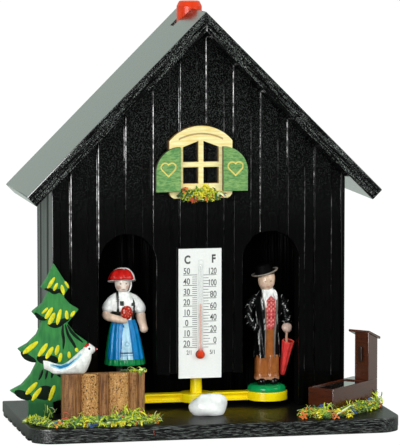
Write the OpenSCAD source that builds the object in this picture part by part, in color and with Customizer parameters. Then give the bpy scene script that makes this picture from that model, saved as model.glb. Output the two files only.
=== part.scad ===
// Weather house: a black gabled house with two arched doors. A man and a woman stand
// on a turnstile that hangs on a strand of gut, which twists as the air dries or dampens.
// All sizes are in millimetres. X runs to the right seen from the front, Y to the back
// and Z up. The origin is the centre of the base plate's underside.

/* [Base plate] */
// Width of the base plate
base_w = 134.5; // [130:0.5:160]
// Depth of the base plate
base_d = 67.6; // [64:0.2:90]
// Thickness of the base plate
base_t = 5.3; // [4:0.1:8]
// Radius of the two front corners
base_corner_r = 8.5; // [3:0.5:12]

/* [Grooved board] */
// Spacing of the grooves in the board that the base and the front wall are cut from
groove_pitch = 10; // [8:0.5:14]
// Width of one groove
groove_w = 3.7; // [2:0.1:5]
// Depth of one groove
groove_depth = 1.2; // [0.5:0.1:1.6]

/* [Walls] */
// Reach of the base plate past each side wall
base_lip = 13.25; // [10:0.05:16]
// Depth of the house from the front wall's face to the back edge of the side walls
house_d = 33; // [30:0.5:42]
// Thickness of the front wall
wall_t = 7; // [6.6:0.1:9]
// Thickness of a side wall
side_t = 5; // [3:0.1:7]
// Height of a side wall's outer face
side_h = 83.6; // [78:0.1:100]
// Thickness of the back wall
back_t = 3; // [2:0.1:5]
// Radius of the hole in the back wall through which the peg is reached
access_r = 9; // [6:0.1:11]

/* [Doors] */
// Radius of a door's round head
door_r = 10.4; // [10.2:0.05:11]
// Height of the springing of the round head above the base
door_spring_h = 53.9; // [50:0.1:60]
// Height of the pillar's lower end above the base
pillar_gap_h = 12.7; // [11:0.1:14]

/* [Roof] */
// Slope of the roof in degrees
roof_slope = 45; // [40:0.5:48]
// Thickness of a roof board
roof_t = 5; // [4:0.1:7]
// Reach of the eaves past the side walls, level
eave_reach = 11; // [8:0.1:14]
// Reach of the roof past the front wall
roof_front_reach = 11.8; // [8:0.1:16]
// Reach of the roof past the back of the side walls
roof_back_reach = 3.7; // [1:0.1:8]

/* [Chimney] */
// Radius of the chimney
chimney_r = 4.6; // [3.5:0.1:6]
// Height of the chimney above the ridge
chimney_rise = 2.5; // [2:0.1:8]
// Length of the chimney below the ridge
chimney_drop = 11; // [9:0.1:14]
// Wall of the chimney tube
chimney_wall = 1.4; // [0.8:0.1:2]
// Radius of the chimney's top, which tapers
chimney_top_r = 3.9; // [3.2:0.1:4.4]
// Height of the tapered part
chimney_taper = 1.9; // [1:0.1:2.6]
// Rounding of the chimney's top rim
chimney_rim_r = 0.7; // [0.3:0.1:1]
// Distance of the chimney's axis behind the front wall's face
chimney_back = 18.5; // [14:0.1:20]
// Play of the chimney in its hole
chimney_fit = 0.08; // [0.05:0.01:0.2]
// Length of the relief cut beside the chimney on the left slope
relief_l = 1.8; // [0.5:0.1:3]
// Width of the relief cut
relief_w = 5; // [3:0.1:6]

/* [Window] */
// Height of the window frame's lower end above the base
window_h0 = 77; // [75:0.1:84]
// Half width of the window frame
window_half_w = 11.6; // [10.5:0.1:13]
// Height of the window frame up to the springing of its header
window_side_h = 20.8; // [20.2:0.1:22]
// Rise of the arched header
header_rise = 5.4; // [4:0.1:7]
// Half width of the arc engraved in the header
arc_half_w = 8.1; // [6:0.1:9]
// Height of the arc's ends above the springing of the header
arc_h0 = 0.6; // [0.3:0.1:1]
// Rise of the engraved arc
arc_rise = 1.95; // [1:0.05:2.5]
// Thickness of the cut-out boards of the window and shutters
trim_t = 2.3; // [1.5:0.1:3]
// Half width of the middle bar
mullion_half_w = 0.95; // [0.6:0.05:1.6]
// Outer edge of the panes from the middle
pane_reach = 6.55; // [6:0.05:7]
// Height of the panes' lower edge above the frame's lower end
sill_h = 5.4; // [4.5:0.1:6]
// Height of the cross bar
bar_h = 1.9; // [1:0.1:2.4]
// Height of the lower panes
pane_low_h = 5.9; // [4:0.1:6.4]
// Height of the upper panes at their outer edge
pane_high_h = 5.4; // [4:0.1:5.8]
// Extra height of the upper panes at the middle bar
pane_peak = 2.1; // [0.5:0.1:2.4]
// Rounding of the frame's lower corners
window_foot_r = 2.4; // [1:0.1:3]
// Inner edge of a shutter from the middle
shutter_x = 7.8; // [7.5:0.1:8.4]
// Width of a shutter
shutter_w = 9; // [8:0.1:11]
// Height of a shutter
shutter_h = 16; // [14:0.1:17]
// Height of a shutter's lower edge above the frame's lower end
shutter_h0 = 2.7; // [1.5:0.1:3]
// Rounding of a shutter's outer top corner
shutter_top_r = 8.8; // [6:0.1:9]
// Width of the heart engraved in a shutter
heart_w = 6; // [4:0.1:7]
// Width of the engraved lines
line_w = 0.55; // [0.3:0.05:0.8]
// Depth of the engraved lines
line_depth = 0.3; // [0.1:0.05:0.6]
// Length of the flock of flowers under the panes
flowers_l = 14.6; // [10:0.2:14.6]
// Height of the flock of flowers
flowers_h = 5.6; // [4:0.1:7]
// Depth of the flock of flowers
flowers_t = 2; // [1:0.1:3]

/* [Thermometer] */
// Width of the thermometer's card
card_w = 15.8; // [13:0.1:18]
// Height of the card
card_h = 47.2; // [44:0.1:50]
// Thickness of the card
card_t = 0.8; // [0.4:0.1:1.5]
// Overlap of the card below the pillar's lower end
card_hang = 1.3; // [0:0.1:2]
// Radius of the glass tube
tube_r = 0.95; // [0.7:0.05:1.2]
// Radius of the capillary
capillary_r = 0.4; // [0.25:0.05:0.5]
// Radius of the glass bulb
bulb_r = 1.55; // [1.3:0.05:1.7]
// Height of the bulb's centre above the card's lower edge
bulb_h = 8.7; // [6:0.1:11]
// Length of the tube above the bulb's centre
tube_l = 34.8; // [28:0.1:36]
// Height of the red column above the bulb's centre
column_l = 18.4; // [5:0.1:26]
// Thickness of the bulb's glass
bulb_glass = 0.3; // [0.2:0.05:0.5]

/* [Turnstile] */
// Distance of the turnstile's axis behind the front wall's face
axis_behind = 6.5; // [6.3:0.1:7.5]
// Distance of a figure's disc from the axis, and of a door's middle from the pillar's
arm_l = 26.4; // [25.8:0.1:27]
// Height of the turnstile's lower face above the base
turn_h0 = 1.9; // [1.6:0.1:2.3]
// Height of the arms, hub and discs
turn_t = 3.2; // [2.6:0.1:3.6]
// Thickness of the flanges at the arm's top and bottom
flange_t = 0.8; // [0.5:0.05:1]
// Width of an arm
arm_w = 4; // [3:0.1:5]
// Thickness of the web between the flanges
web_t = 1.6; // [1:0.1:2]
// Radius of the hub
hub_r = 6.1; // [5:0.1:6.6]
// Radius of a figure's disc
disc_r = 7.6; // [7.2:0.1:8]
// Height of the post above the hub
post_h = 24; // [16:0.5:30]
// Radius of the post at the hub
post_foot_r = 2.2; // [1.8:0.05:2.4]
// Radius of the post at its top
post_top_r = 1.6; // [1.4:0.05:1.8]

/* [Gut and peg] */
// Radius of the strand of gut
gut_r = 0.45; // [0.3:0.05:0.6]
// Radius of the knot that the turnstile hangs on
knot_r = 1.2; // [1:0.05:1.3]
// Play round the gut in the turnstile's bore
gut_play = 0.3; // [0.2:0.05:0.4]
// Play round the knot in its recess
knot_play = 0.3; // [0.2:0.05:0.5]
// Radius of the adjusting peg
peg_r = 1.55; // [1.2:0.05:1.7]
// Running play of the peg in the hanger block
peg_fit = 0.05; // [0.02:0.01:0.1]
// Radius of the peg's head
peg_head_r = 2.5; // [2:0.05:2.6]
// Height of the peg's head
peg_head_h = 5; // [3:0.1:8]
// Length of the peg below the hanger block
peg_tail = 4; // [2:0.1:8]
// Depth of the hole for the gut in the peg
peg_bore_l = 9; // [5:0.1:12]
// Height of the hanger block's lower face above the base
hanger_h0 = 83; // [75:0.1:90]
// Height of the hanger block
hanger_h = 10; // [8:0.1:14]
// Reach of the hanger block behind the front wall
hanger_reach = 6; // [4:0.1:10]
// Half width of the channel for the gut in the back of the pillar
channel_half_w = 4.2; // [3.6:0.1:5]
// Depth of the channel
channel_depth = 3.5; // [3.4:0.1:4]
// Room in the channel above the hanger block
channel_head = 14; // [12:0.1:18]

/* [Fir tree] */
// Distance of the tree's trunk from the base's left edge
tree_inset = 10.2; // [8:0.1:13]
// Distance of the tree's face in front of the front wall
tree_front = 10; // [7:0.1:14]
// Thickness of the cut-out tree
tree_t = 3; // [2:0.1:4]
// Size of the tree against the drawn outline
tree_size = 1; // [0.8:0.01:1.05]

/* [Log palisade and bird] */
// Distance of the palisade's left end from the base's left edge
log_inset = 12.9; // [11:0.1:15]
// Distance of the palisade's front in front of the front wall
log_front = 24.5; // [23.8:0.1:25]
// Height of the palisade
log_h = 17.6; // [15:0.1:20]
// Thickness of the backing strip
log_back_t = 2; // [1:0.1:2.4]
// Depth of the poles in front of the strip
log_pole_d = 2.6; // [1.5:0.1:3]
// Depth of the backing strip that shows in the seams between the poles
log_seam = 0.4; // [0.2:0.05:0.6]
// Distance of the bird's breast from the palisade's left end
bird_x = 4; // [2:0.1:8]
// Length of the bird from tail to beak
bird_l = 19.4; // [14:0.1:22]

/* [White stone] */
// Length of the white stone
stone_l = 13.4; // [9:0.1:16]
// Depth of the white stone
stone_d = 9.5; // [6:0.1:10]
// Height of the white stone
stone_h = 7.6; // [5:0.1:9]
// Depth of the dents in the stone as a share of its height
stone_dent = 0.2; // [0:0.05:0.4]
// Distance of the stone's middle in front of the front wall
stone_front = 13.5; // [12:0.1:15]
// Distance of the stone's middle to the right of the pillar's middle
stone_x = 0.5; // [-3:0.1:3]

/* [Fountain] */
// Length of the trough
trough_l = 31.2; // [28:0.1:34]
// Width of the trough
trough_w = 10.4; // [8:0.1:12]
// Height of the trough
trough_h = 9.7; // [6:0.1:12]
// Thickness of the trough's rim
trough_rim = 0.8; // [0.6:0.1:2]
// Depth of the trough's hollow
trough_hollow = 4; // [2:0.1:5]
// Depth of the water below the rim
water_low = 0.5; // [0.2:0.1:1.5]
// Turn of the trough against the front of the house, in degrees
trough_turn = 45; // [40:1:50]
// Distance of the trough's outer end from the base's right edge
trough_inset = 1.8; // [0.5:0.1:2.2]
// Distance of the trough's outer end in front of the front wall's face
trough_front = 4; // [3.6:0.1:6]
// Length of the post along the trough
pump_l = 6.4; // [4:0.1:8]
// Width of the post across the trough
pump_w = 5.8; // [4:0.1:8]
// Height of the post above the trough
pump_h = 17.4; // [12:0.1:24]
// Slope of the post's cap in degrees
cap_slope = 21; // [5:1:30]
// Thickness of the cap
cap_t = 0.9; // [0.5:0.1:1.5]
// Reach of the cap past the post on its inner side
cap_reach = 2.6; // [0.5:0.1:4]
// Reach of the cap past the post at its lower end
cap_end_reach = 1.5; // [0.2:0.1:3]
// Reach of the cap past the post on its other sides
cap_lip = 0.3; // [0:0.1:1]
// Radius of the spout block's rounded ends
spout_r = 0.7; // [0.5:0.05:1.2]
// Height of the spout block between its rounded ends
spout_rise = 4.4; // [1.5:0.1:6]
// Reach of the spout block from the post
spout_l = 1.2; // [0.8:0.1:3]
// Height of the spout block's middle above the trough
spout_h = 9.6; // [6:0.1:12]

/* [Grass] */
// Length of the grass strip at the left
grass_left_l = 42; // [30:0.5:43]
// Distance of the left strip's middle from the palisade's left end
grass_left_x = 10; // [9.5:0.1:12]
// Depth of the grass strip at the left
grass_left_d = 7.6; // [4:0.1:8]
// Length of the grass in front of the trough
grass_right_l = 25; // [14:0.5:26]
// Depth of the grass in front of the trough
grass_right_d = 8.6; // [5:0.1:9]
// Height of the grass
grass_h = 3; // [1.5:0.1:4]
// Depth of the dents in the grass and the flowers as a share of their height
grass_dent = 0.45; // [0.1:0.05:0.6]

/* [Figures] */
// Size of the figures against their drawn sections
figure_size = 1; // [0.8:0.01:1.03]
// Radius of a figure's green base
figure_base_r = 7; // [5.5:0.1:7.2]
// Height of a figure's green base
figure_base_h = 2.4; // [1.6:0.1:3]

/* [Hidden] */
$fn = 48;
eps = 0.01;
seat_gap = 0.1;
tube_gap = 0.02;
fluid_play = 0.03;
wall_w = base_w - 2 * base_lip;
wall_front = base_d / 2 - house_d;
wall_back = wall_front + wall_t;
house_back = wall_front + house_d;
eave_in_z = base_t + side_h;
apex_in_z = eave_in_z + wall_w / 2 * tan(roof_slope);
ridge_z = apex_in_z + roof_t / cos(roof_slope);
roof_half_w = wall_w / 2 + eave_reach;
roof_front = wall_front - roof_front_reach;
roof_d = roof_front_reach + house_d + roof_back_reach;
chimney_y = wall_front + chimney_back;
groove_edge_x = -0.9;
groove_edge_y = 1.7;
axis_y = wall_front + axis_behind;
turn_z0 = base_t + turn_h0;
turn_z1 = turn_z0 + turn_t;
pillar_z = base_t + pillar_gap_h;
channel_front = wall_back - channel_depth;
hanger_z0 = base_t + hanger_h0;
hanger_z1 = hanger_z0 + hanger_h;
peg_z0 = hanger_z0 - peg_tail;
knot_z = turn_z0 + knot_r;
card_z0 = pillar_z - card_hang;
tube_y = wall_front - card_t - tube_r - tube_gap;
bulb_z = card_z0 + bulb_h;
window_z0 = base_t + window_h0;
window_spring_z = window_z0 + window_side_h;
window_front = wall_front - trim_t;
header_r = (window_half_w * window_half_w + header_rise * header_rise) / (2 * header_rise);
pane_z0 = window_z0 + sill_h;
arc_r = (arc_half_w * arc_half_w + arc_rise * arc_rise) / (2 * arc_rise);
log_x0 = -base_w / 2 + log_inset;
log_y0 = wall_front - log_front;
log_z1 = base_t + log_h;
log_widths = [6.8, 6.4, 3.5, 7.4, 3.2, 2.5];
log_starts = [for (i = 0, x = 0; i < len(log_widths); x = x + log_widths[i], i = i + 1) x];
log_l = log_starts[len(log_widths) - 1] + log_widths[len(log_widths) - 1];
tree_x = -base_w / 2 + tree_inset;
tree_y = wall_front - tree_front;
trough_z1 = base_t + trough_h;
trough_x0 = base_w / 2 - trough_inset - trough_l * cos(trough_turn);
trough_y0 = wall_front - trough_front - trough_l * sin(trough_turn);
bird_scale = bird_l / 19.4;
stone_y = wall_front - stone_front;

black = [0.06, 0.065, 0.06];
brown = [0.36, 0.16, 0.1];
yellow = [0.95, 0.82, 0.12];
grass_green = [0.45, 0.6, 0.15];
pale_wood = [0.93, 0.84, 0.58];
shutter_green = [0.3, 0.58, 0.33];

// Stands a drawing of the front view upright, its face at y and its thickness to the back
module upright(y, thickness) {
    translate([0, y + thickness, 0]) rotate([90, 0, 0]) linear_extrude(thickness) children();
}

// Skin over level rings. Each section is [z, centre x, centre y, half width, half depth, pleat]
module loft(sections, sides, pleats = 12) {
    rings = len(sections);
    points = [for (s = sections, j = [0:sides - 1])
        let (a = 360 * j / sides, k = 1 + (len(s) > 5 ? s[5] : 0) * cos(pleats * a))
        [s[1] + s[3] * k * cos(a), s[2] + s[4] * k * sin(a), s[0]]];
    walls = [for (i = [0:rings - 2], j = [0:sides - 1], half = [0, 1])
        let (a = i * sides + j, b = i * sides + (j + 1) % sides)
        half == 0 ? [a + sides, b + sides, b] : [a + sides, b, a]];
    foot = [[for (j = [0:sides - 1]) j]];
    top = [[for (j = [sides - 1:-1:0]) (rings - 1) * sides + j]];
    polyhedron(points, concat(walls, foot, top));
}

// Round limb through a list of points with a radius at each
module limb(points, radii) {
    for (i = [0:len(points) - 2])
        hull() {
            translate(points[i]) sphere(radii[i], $fn = 16);
            translate(points[i + 1]) sphere(radii[i + 1], $fn = 16);
        }
}

// Dome on an oval foot. Dents round and across it lower it by up to the given share
module mound(l, d, h, lobes, dent, rings, sides) {
    points = concat([[0, 0, h]], [for (i = [1:rings], j = [0:sides - 1])
        let (f = i / rings, a = 360 * j / sides)
        let (w = dent * sin(180 * f) * (1 + sin(lobes * a + 140 * i)) / 2)
        [l / 2 * f * cos(a), d / 2 * f * sin(a), h * sqrt(1 - f * f) * (1 - w)]]);
    cap = [for (j = [0:sides - 1]) [0, 1 + (j + 1) % sides, 1 + j]];
    walls = [for (i = [0:rings - 2], j = [0:sides - 1], half = [0, 1])
        let (a = 1 + i * sides + j, b = 1 + i * sides + (j + 1) % sides)
        half == 0 ? [a, b, b + sides] : [a, b + sides, a + sides]];
    foot = [[for (j = [0:sides - 1]) 1 + (rings - 1) * sides + j]];
    polyhedron(points, concat(cap, walls, foot));
}

// Outline of the base with its two front corners rounded
module base_outline() {
    translate([-base_w / 2 + base_corner_r, -base_d / 2])
        square([base_w - 2 * base_corner_r, base_d]);
    translate([-base_w / 2, -base_d / 2 + base_corner_r]) square([base_w, base_d - base_corner_r]);
    for (side = [-1, 1])
        translate([side * (base_w / 2 - base_corner_r), -base_d / 2 + base_corner_r])
            circle(base_corner_r);
}

// Base cut from the grooved board, with the grooves underneath and level with the front
module base_plate() {
    rows = ceil(base_d / groove_pitch);
    color(black) difference() {
        linear_extrude(base_t) base_outline();
        for (i = [-rows:rows])
            translate([-base_w, groove_edge_y + i * groove_pitch, -eps])
                cube([2 * base_w, groove_w, groove_depth + eps]);
    }
}

// Outline of the gabled front wall with the two doors and the gap under the pillar
module front_outline() {
    half = wall_w / 2;
    difference() {
        polygon([[-half, base_t], [half, base_t], [half, eave_in_z], [0, apex_in_z],
            [-half, eave_in_z]]);
        for (side = [-1, 1])
            translate([side * arm_l, base_t]) {
                translate([-door_r, -eps]) square([2 * door_r, door_spring_h + eps]);
                translate([0, door_spring_h]) circle(door_r);
            }
        translate([-arm_l, base_t - eps]) square([2 * arm_l, pillar_gap_h + eps]);
    }
}

// Front wall with upright grooves and a channel for the gut in the back of its pillar
module front_wall() {
    columns = ceil(wall_w / 2 / groove_pitch);
    color(black) difference() {
        upright(wall_front, wall_t) front_outline();
        for (i = [-columns:columns - 1])
            translate([groove_edge_x + i * groove_pitch, wall_front - eps, base_t - eps])
                cube([groove_w, groove_depth + eps, apex_in_z]);
        translate([-channel_half_w, channel_front, pillar_z - eps])
            cube([2 * channel_half_w, channel_depth + eps, hanger_z1 + channel_head - pillar_z]);
    }
}

// Side wall behind the front wall, its top edge bevelled to the roof
module side_wall(side) {
    outer = side * wall_w / 2;
    inner = side * (wall_w / 2 - side_t);
    color(black) upright(wall_back, house_d - wall_t)
        polygon([[outer, base_t], [outer, eave_in_z],
            [inner, eave_in_z + side_t * tan(roof_slope)], [inner, base_t]]);
}

module left_side_wall() {
    side_wall(-1);
}

module right_side_wall() {
    side_wall(1);
}

// Back wall between the side walls, with a hole for air and for a hand to reach the peg
module back_wall() {
    half = wall_w / 2 - side_t;
    shoulder_z = eave_in_z + side_t * tan(roof_slope);
    color(black) upright(house_back - back_t, back_t) difference() {
        polygon([[-half, base_t], [half, base_t], [half, shoulder_z], [0, apex_in_z],
            [-half, shoulder_z]]);
        translate([0, hanger_z1]) circle(access_r);
    }
}

// Roof board, mitred at the ridge and cut square at the eave, with its half of the chimney hole
module roof_board(side) {
    eave_z = ridge_z - roof_half_w * tan(roof_slope);
    color(black) difference() {
        upright(roof_front, roof_d)
            polygon([[0, apex_in_z], [0, ridge_z], [side * roof_half_w, eave_z],
                [side * (roof_half_w - roof_t * sin(roof_slope)), eave_z - roof_t * cos(roof_slope)]]);
        translate([0, chimney_y, apex_in_z - 4 * chimney_r])
            cylinder(r = chimney_r + chimney_fit, h = 8 * chimney_r);
        translate([-chimney_r - relief_l, chimney_y - relief_w / 2, ridge_z - chimney_r - 2 * relief_l])
            cube([relief_l + chimney_r / 2, relief_w, 4 * relief_l]);
    }
}

module left_roof_board() {
    roof_board(-1);
}

module right_roof_board() {
    roof_board(1);
}

// Chimney: a moulded cap, hollow from below, with a tapered top and a rounded rim
module chimney() {
    top = ridge_z + chimney_rise;
    foot = ridge_z - chimney_drop;
    color([0.85, 0.22, 0.1]) translate([0, chimney_y, 0]) rotate_extrude() difference() {
        union() {
            translate([0, foot]) square([chimney_r, top - foot - chimney_taper]);
            hull() {
                translate([0, top - chimney_taper - eps]) square([chimney_r, eps]);
                translate([0, top - chimney_rim_r]) square([eps, chimney_rim_r]);
                translate([chimney_top_r - chimney_rim_r, top - chimney_rim_r])
                    intersection() {
                        circle(chimney_rim_r);
                        translate([0, -chimney_rim_r]) square(2 * chimney_rim_r);
                    }
            }
        }
        translate([-eps, foot - eps])
            square([chimney_r - chimney_wall + eps, top - foot - chimney_taper - chimney_wall]);
    }
}

// One of the four panes: the upper ones rise towards the middle bar
module pane(side, z, height, peak) {
    near = side * mullion_half_w;
    far = side * pane_reach;
    polygon([[near, z], [far, z], [far, z + height], [near, z + height + peak]]);
}

// Outline of the window frame: an arched header, upright sides and round feet
module window_outline() {
    intersection() {
        translate([0, window_spring_z + header_rise - header_r]) circle(header_r, $fn = 96);
        translate([-window_half_w, window_spring_z - eps]) square([2 * window_half_w, 2 * header_rise]);
    }
    translate([-window_half_w, window_z0 + window_foot_r])
        square([2 * window_half_w, window_side_h - window_foot_r]);
    translate([-window_half_w + window_foot_r, window_z0])
        square([2 * (window_half_w - window_foot_r), 2 * window_foot_r]);
    for (side = [-1, 1])
        translate([side * (window_half_w - window_foot_r), window_z0 + window_foot_r])
            circle(window_foot_r);
}

// Arc line engraved in the header
module header_arc() {
    arc_z = window_spring_z + arc_h0;
    intersection() {
        translate([0, arc_z + arc_rise - arc_r]) difference() {
            circle(arc_r + line_w / 2, $fn = 120);
            circle(arc_r - line_w / 2, $fn = 120);
        }
        translate([-arc_half_w, arc_z - line_w]) square([2 * arc_half_w, 2 * arc_rise]);
    }
}

// Window frame with its four panes cut from one thin board, and the engraved arc
module window_frame() {
    color(pale_wood) difference() {
        upright(window_front, trim_t) difference() {
            window_outline();
            for (side = [-1, 1]) {
                pane(side, pane_z0, pane_low_h, 0);
                pane(side, pane_z0 + pane_low_h + bar_h, pane_high_h, pane_peak);
            }
        }
        upright(window_front - eps, line_depth + eps) header_arc();
    }
}

// Heart of a given width, its point down, about its middle
module heart(width) {
    lobe = width / (2 + sqrt(2));
    translate([0, -lobe * sqrt(2) / 2]) rotate(45) {
        square(2 * lobe);
        translate([lobe, 2 * lobe]) circle(lobe);
        translate([2 * lobe, lobe]) circle(lobe);
    }
}

// Outline of a shutter from its inner lower corner, its outer top corner rounded
module shutter_outline() {
    square([shutter_w, shutter_h - shutter_top_r]);
    square([shutter_w - shutter_top_r, shutter_h]);
    intersection() {
        translate([shutter_w - shutter_top_r, shutter_h - shutter_top_r]) circle(shutter_top_r);
        square([shutter_w, shutter_h]);
    }
}

// Shutter glued over the frame's side, with an engraved heart
module shutter(side) {
    z0 = window_z0 + shutter_h0;
    front = window_front - trim_t;
    color(shutter_green) difference() {
        upright(front, trim_t) mirror([side > 0 ? 0 : 1, 0]) translate([shutter_x, z0]) shutter_outline();
        translate([side * (shutter_x + shutter_w / 2), 0, z0 + shutter_h / 2 - heart_w / 4])
            upright(front - eps, line_depth + eps) difference() {
                heart(heart_w);
                offset(delta = -line_w) heart(heart_w);
            }
    }
}

module left_shutter() {
    shutter(-1);
}

module right_shutter() {
    shutter(1);
}

// Flock of flowers glued to the window frame below the panes
module window_flowers() {
    color(grass_green) translate([0, window_front, window_z0 + flowers_h / 2 - shutter_h0 / 2])
        rotate([90, 0, 0])
            mound(flowers_l, flowers_h, flowers_t, 9, grass_dent, 4, 32);
}

// Card of the thermometer with a round window for the bulb
module thermometer_card() {
    color("white") difference() {
        translate([-card_w / 2, wall_front - card_t, card_z0]) cube([card_w, card_t, card_h]);
        translate([0, wall_front + eps, bulb_z]) rotate([90, 0, 0])
            cylinder(r = bulb_r + seat_gap, h = card_t + 2 * eps);
    }
}

// Glass tube with its bulb, closed at the top, around the capillary
module thermometer_tube() {
    color([0.85, 0.9, 0.92, 0.4]) translate([0, tube_y, bulb_z]) difference() {
        union() {
            sphere(bulb_r);
            cylinder(r = tube_r, h = tube_l - tube_r);
            translate([0, 0, tube_l - tube_r]) sphere(tube_r);
        }
        sphere(bulb_r - bulb_glass);
        cylinder(r = capillary_r, h = tube_l - 2 * tube_r);
    }
}

// Red fluid in the bulb and the capillary
module thermometer_fluid() {
    color([0.8, 0.1, 0.08]) translate([0, tube_y, bulb_z]) {
        sphere(bulb_r - bulb_glass - fluid_play);
        cylinder(r = capillary_r - fluid_play, h = column_l);
    }
}

// Fir tree: a flat cut-out of four drooping tiers on a short trunk
module fir_tree() {
    color([0.2, 0.42, 0.15]) translate([tree_x, 0, base_t]) upright(tree_y, tree_t) scale(tree_size)
        polygon([[-7.3, 0], [1.6, 0], [1.6, 5.8], [7.5, 7.2], [12.6, 10.3], [9.8, 12.6], [7.3, 16.2],
            [6.6, 20], [10.2, 22.6], [14.2, 27], [9.5, 30.5], [6.8, 34.1], [7.8, 35.1], [11, 39],
            [7.9, 40.9], [5.8, 43.2], [5.6, 44.1], [7.5, 46.9], [4.8, 51.1], [2.1, 55.5], [-0.2, 50.8],
            [-2.7, 47], [-0.6, 46.2], [0, 45.4], [-2.1, 41.4], [-5.9, 38.4], [-3.6, 35.9], [-2.3, 34.8],
            [-4.2, 30.3], [-7.5, 27.1], [-11, 25.2], [-8, 22], [-4.3, 20], [-6.4, 15.9], [-9.7, 12.3],
            [-13.9, 10.2], [-8.9, 6.9], [-7.3, 6.4]]);
}

// Palisade of half-round poles of different widths on a backing strip
module log_palisade() {
    color([0.6, 0.4, 0.2]) translate([log_x0, log_y0, base_t]) linear_extrude(log_h) {
        translate([0, log_pole_d - log_seam]) square([log_l, log_back_t + log_seam]);
        for (i = [0:len(log_widths) - 1]) {
            half = log_widths[i] / 2;
            depth = min(log_pole_d, half);
            round_r = (half * half + depth * depth) / (2 * depth);
            intersection() {
                translate([log_starts[i] + half, log_pole_d - depth + round_r]) circle(round_r);
                translate([log_starts[i], 0]) square([log_widths[i], log_pole_d]);
            }
        }
    }
}

// Small bird on the palisade: tail, body, head and beak, flat where it sits
module bird() {
    color("white") translate([log_x0 + bird_x, log_y0 + log_pole_d, log_z1]) scale(bird_scale)
        intersection() {
            union() {
                rotate([0, 90, 0])
                    loft([[-10.6, -4.2, 0, 0.4, 1.1], [-6.5, -4.6, 0, 0.8, 1.4], [-3.5, -4.9, 0, 2.3, 2.2],
                        [-0.5, -4.6, 0, 4.2, 3], [2.2, -4.9, 0, 4.4, 3.1], [4.4, -6, 0, 3.5, 2.6],
                        [5.6, -7.4, 0, 1.9, 1.7]], 20);
                translate([4.4, 0, 9]) sphere(2.3, $fn = 20);
                translate([6.2, 0, 8.9]) rotate([0, 90, 0])
                    loft([[0, 0, 0, 0.9, 0.8], [2.6, 0.2, 0, 0.15, 0.15]], 10);
                translate([4, 0, 10.8]) rotate([0, -25, 0])
                    loft([[0, 0, 0, 1.2, 0.5], [1.4, -0.6, 0, 0.3, 0.2]], 10);
            }
            translate([-20, -10, 0]) cube([40, 20, 20]);
        }
}

// White stone in front of the pillar
module white_stone() {
    color([0.96, 0.96, 0.94]) translate([stone_x, stone_y, base_t])
        mound(stone_l, stone_d, stone_h, 3, stone_dent, 6, 28);
}

// Turns and sets a piece drawn along the trough: x along it, y across to its inner side
module along_trough() {
    translate([trough_x0, trough_y0, 0]) rotate(trough_turn) children();
}

// Trough hollowed from the top, with a solid end under the post
module trough() {
    color(brown) along_trough() difference() {
        translate([0, 0, base_t]) cube([trough_l, trough_w, trough_h]);
        translate([trough_rim, trough_rim, trough_z1 - trough_hollow])
            cube([trough_l - pump_l - 2 * trough_rim, trough_w - 2 * trough_rim, trough_hollow + eps]);
    }
}

// Water standing in the trough
module trough_water() {
    color([0.35, 0.4, 0.4]) along_trough()
        translate([trough_rim, trough_rim, trough_z1 - trough_hollow])
            cube([trough_l - pump_l - 2 * trough_rim, trough_w - 2 * trough_rim, trough_hollow - water_low]);
}

// Post at the trough's end with a slanted top
module fountain_post() {
    fall = pump_l * tan(cap_slope);
    color(brown) along_trough() translate([trough_l - pump_l, 0, trough_z1])
        upright(0, pump_w) polygon([[0, 0], [pump_l, 0], [pump_l, pump_h - fall], [0, pump_h]]);
}

// Thin cap board lying on the post's slanted top
module post_cap() {
    run = (pump_l + cap_lip + cap_end_reach) / cos(cap_slope);
    color(brown) along_trough() translate([trough_l - pump_l, 0, trough_z1 + pump_h])
        rotate([0, cap_slope, 0]) translate([-cap_lip / cos(cap_slope), -cap_lip, 0])
            cube([run, pump_w + cap_lip + cap_reach, cap_t]);
}

// Spout block on the post over the water
module spout() {
    color(black) along_trough()
        translate([trough_l - pump_l, pump_w / 2, trough_z1 + spout_h]) rotate([0, -90, 0])
            hull() for (side = [-1, 1])
                translate([side * spout_rise / 2, 0, 0]) cylinder(r = spout_r, h = spout_l);
}

// Flocked grass in front of the tree and the palisade
module left_grass() {
    color(grass_green) translate([log_x0 + grass_left_x, log_y0 - grass_left_d / 2 - seat_gap, base_t])
        mound(grass_left_l, grass_left_d, grass_h, 11, grass_dent, 4, 44);
}

// Flocked grass along the trough's outer side
module right_grass() {
    color(grass_green) along_trough()
        translate([grass_right_l / 2 - grass_right_d / 2, -grass_right_d / 2 - seat_gap, base_t])
            mound(grass_right_l, grass_right_d, grass_h, 9, grass_dent, 4, 40);
}

// Hanger block glued into the channel, bored for the adjusting peg
module gut_hanger() {
    color([0.72, 0.58, 0.4]) difference() {
        translate([-channel_half_w, channel_front, hanger_z0])
            cube([2 * channel_half_w, channel_depth + hanger_reach, hanger_h]);
        translate([0, axis_y, hanger_z0 - eps]) cylinder(r = peg_r + peg_fit, h = hanger_h + 2 * eps);
    }
}

// Adjusting peg: its head rests on the hanger block and its lower end holds the gut
module adjusting_peg() {
    head_z = hanger_z1 + peg_fit;
    color([0.78, 0.66, 0.46]) translate([0, axis_y, 0]) difference() {
        union() {
            translate([0, 0, peg_z0]) cylinder(r = peg_r, h = head_z - peg_z0 + eps);
            translate([0, 0, head_z]) cylinder(r = peg_head_r, h = peg_head_h);
        }
        translate([0, 0, peg_z0 - eps]) cylinder(r = gut_r + peg_fit, h = peg_bore_l + eps);
    }
}

// Strand of gut from the peg down through the turnstile to its knot
module gut_strand() {
    color([0.85, 0.78, 0.6]) translate([0, axis_y, 0]) {
        translate([0, 0, knot_z]) cylinder(r = gut_r, h = peg_z0 + peg_bore_l - seat_gap - knot_z);
        translate([0, 0, knot_z]) sphere(knot_r);
    }
}

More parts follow.
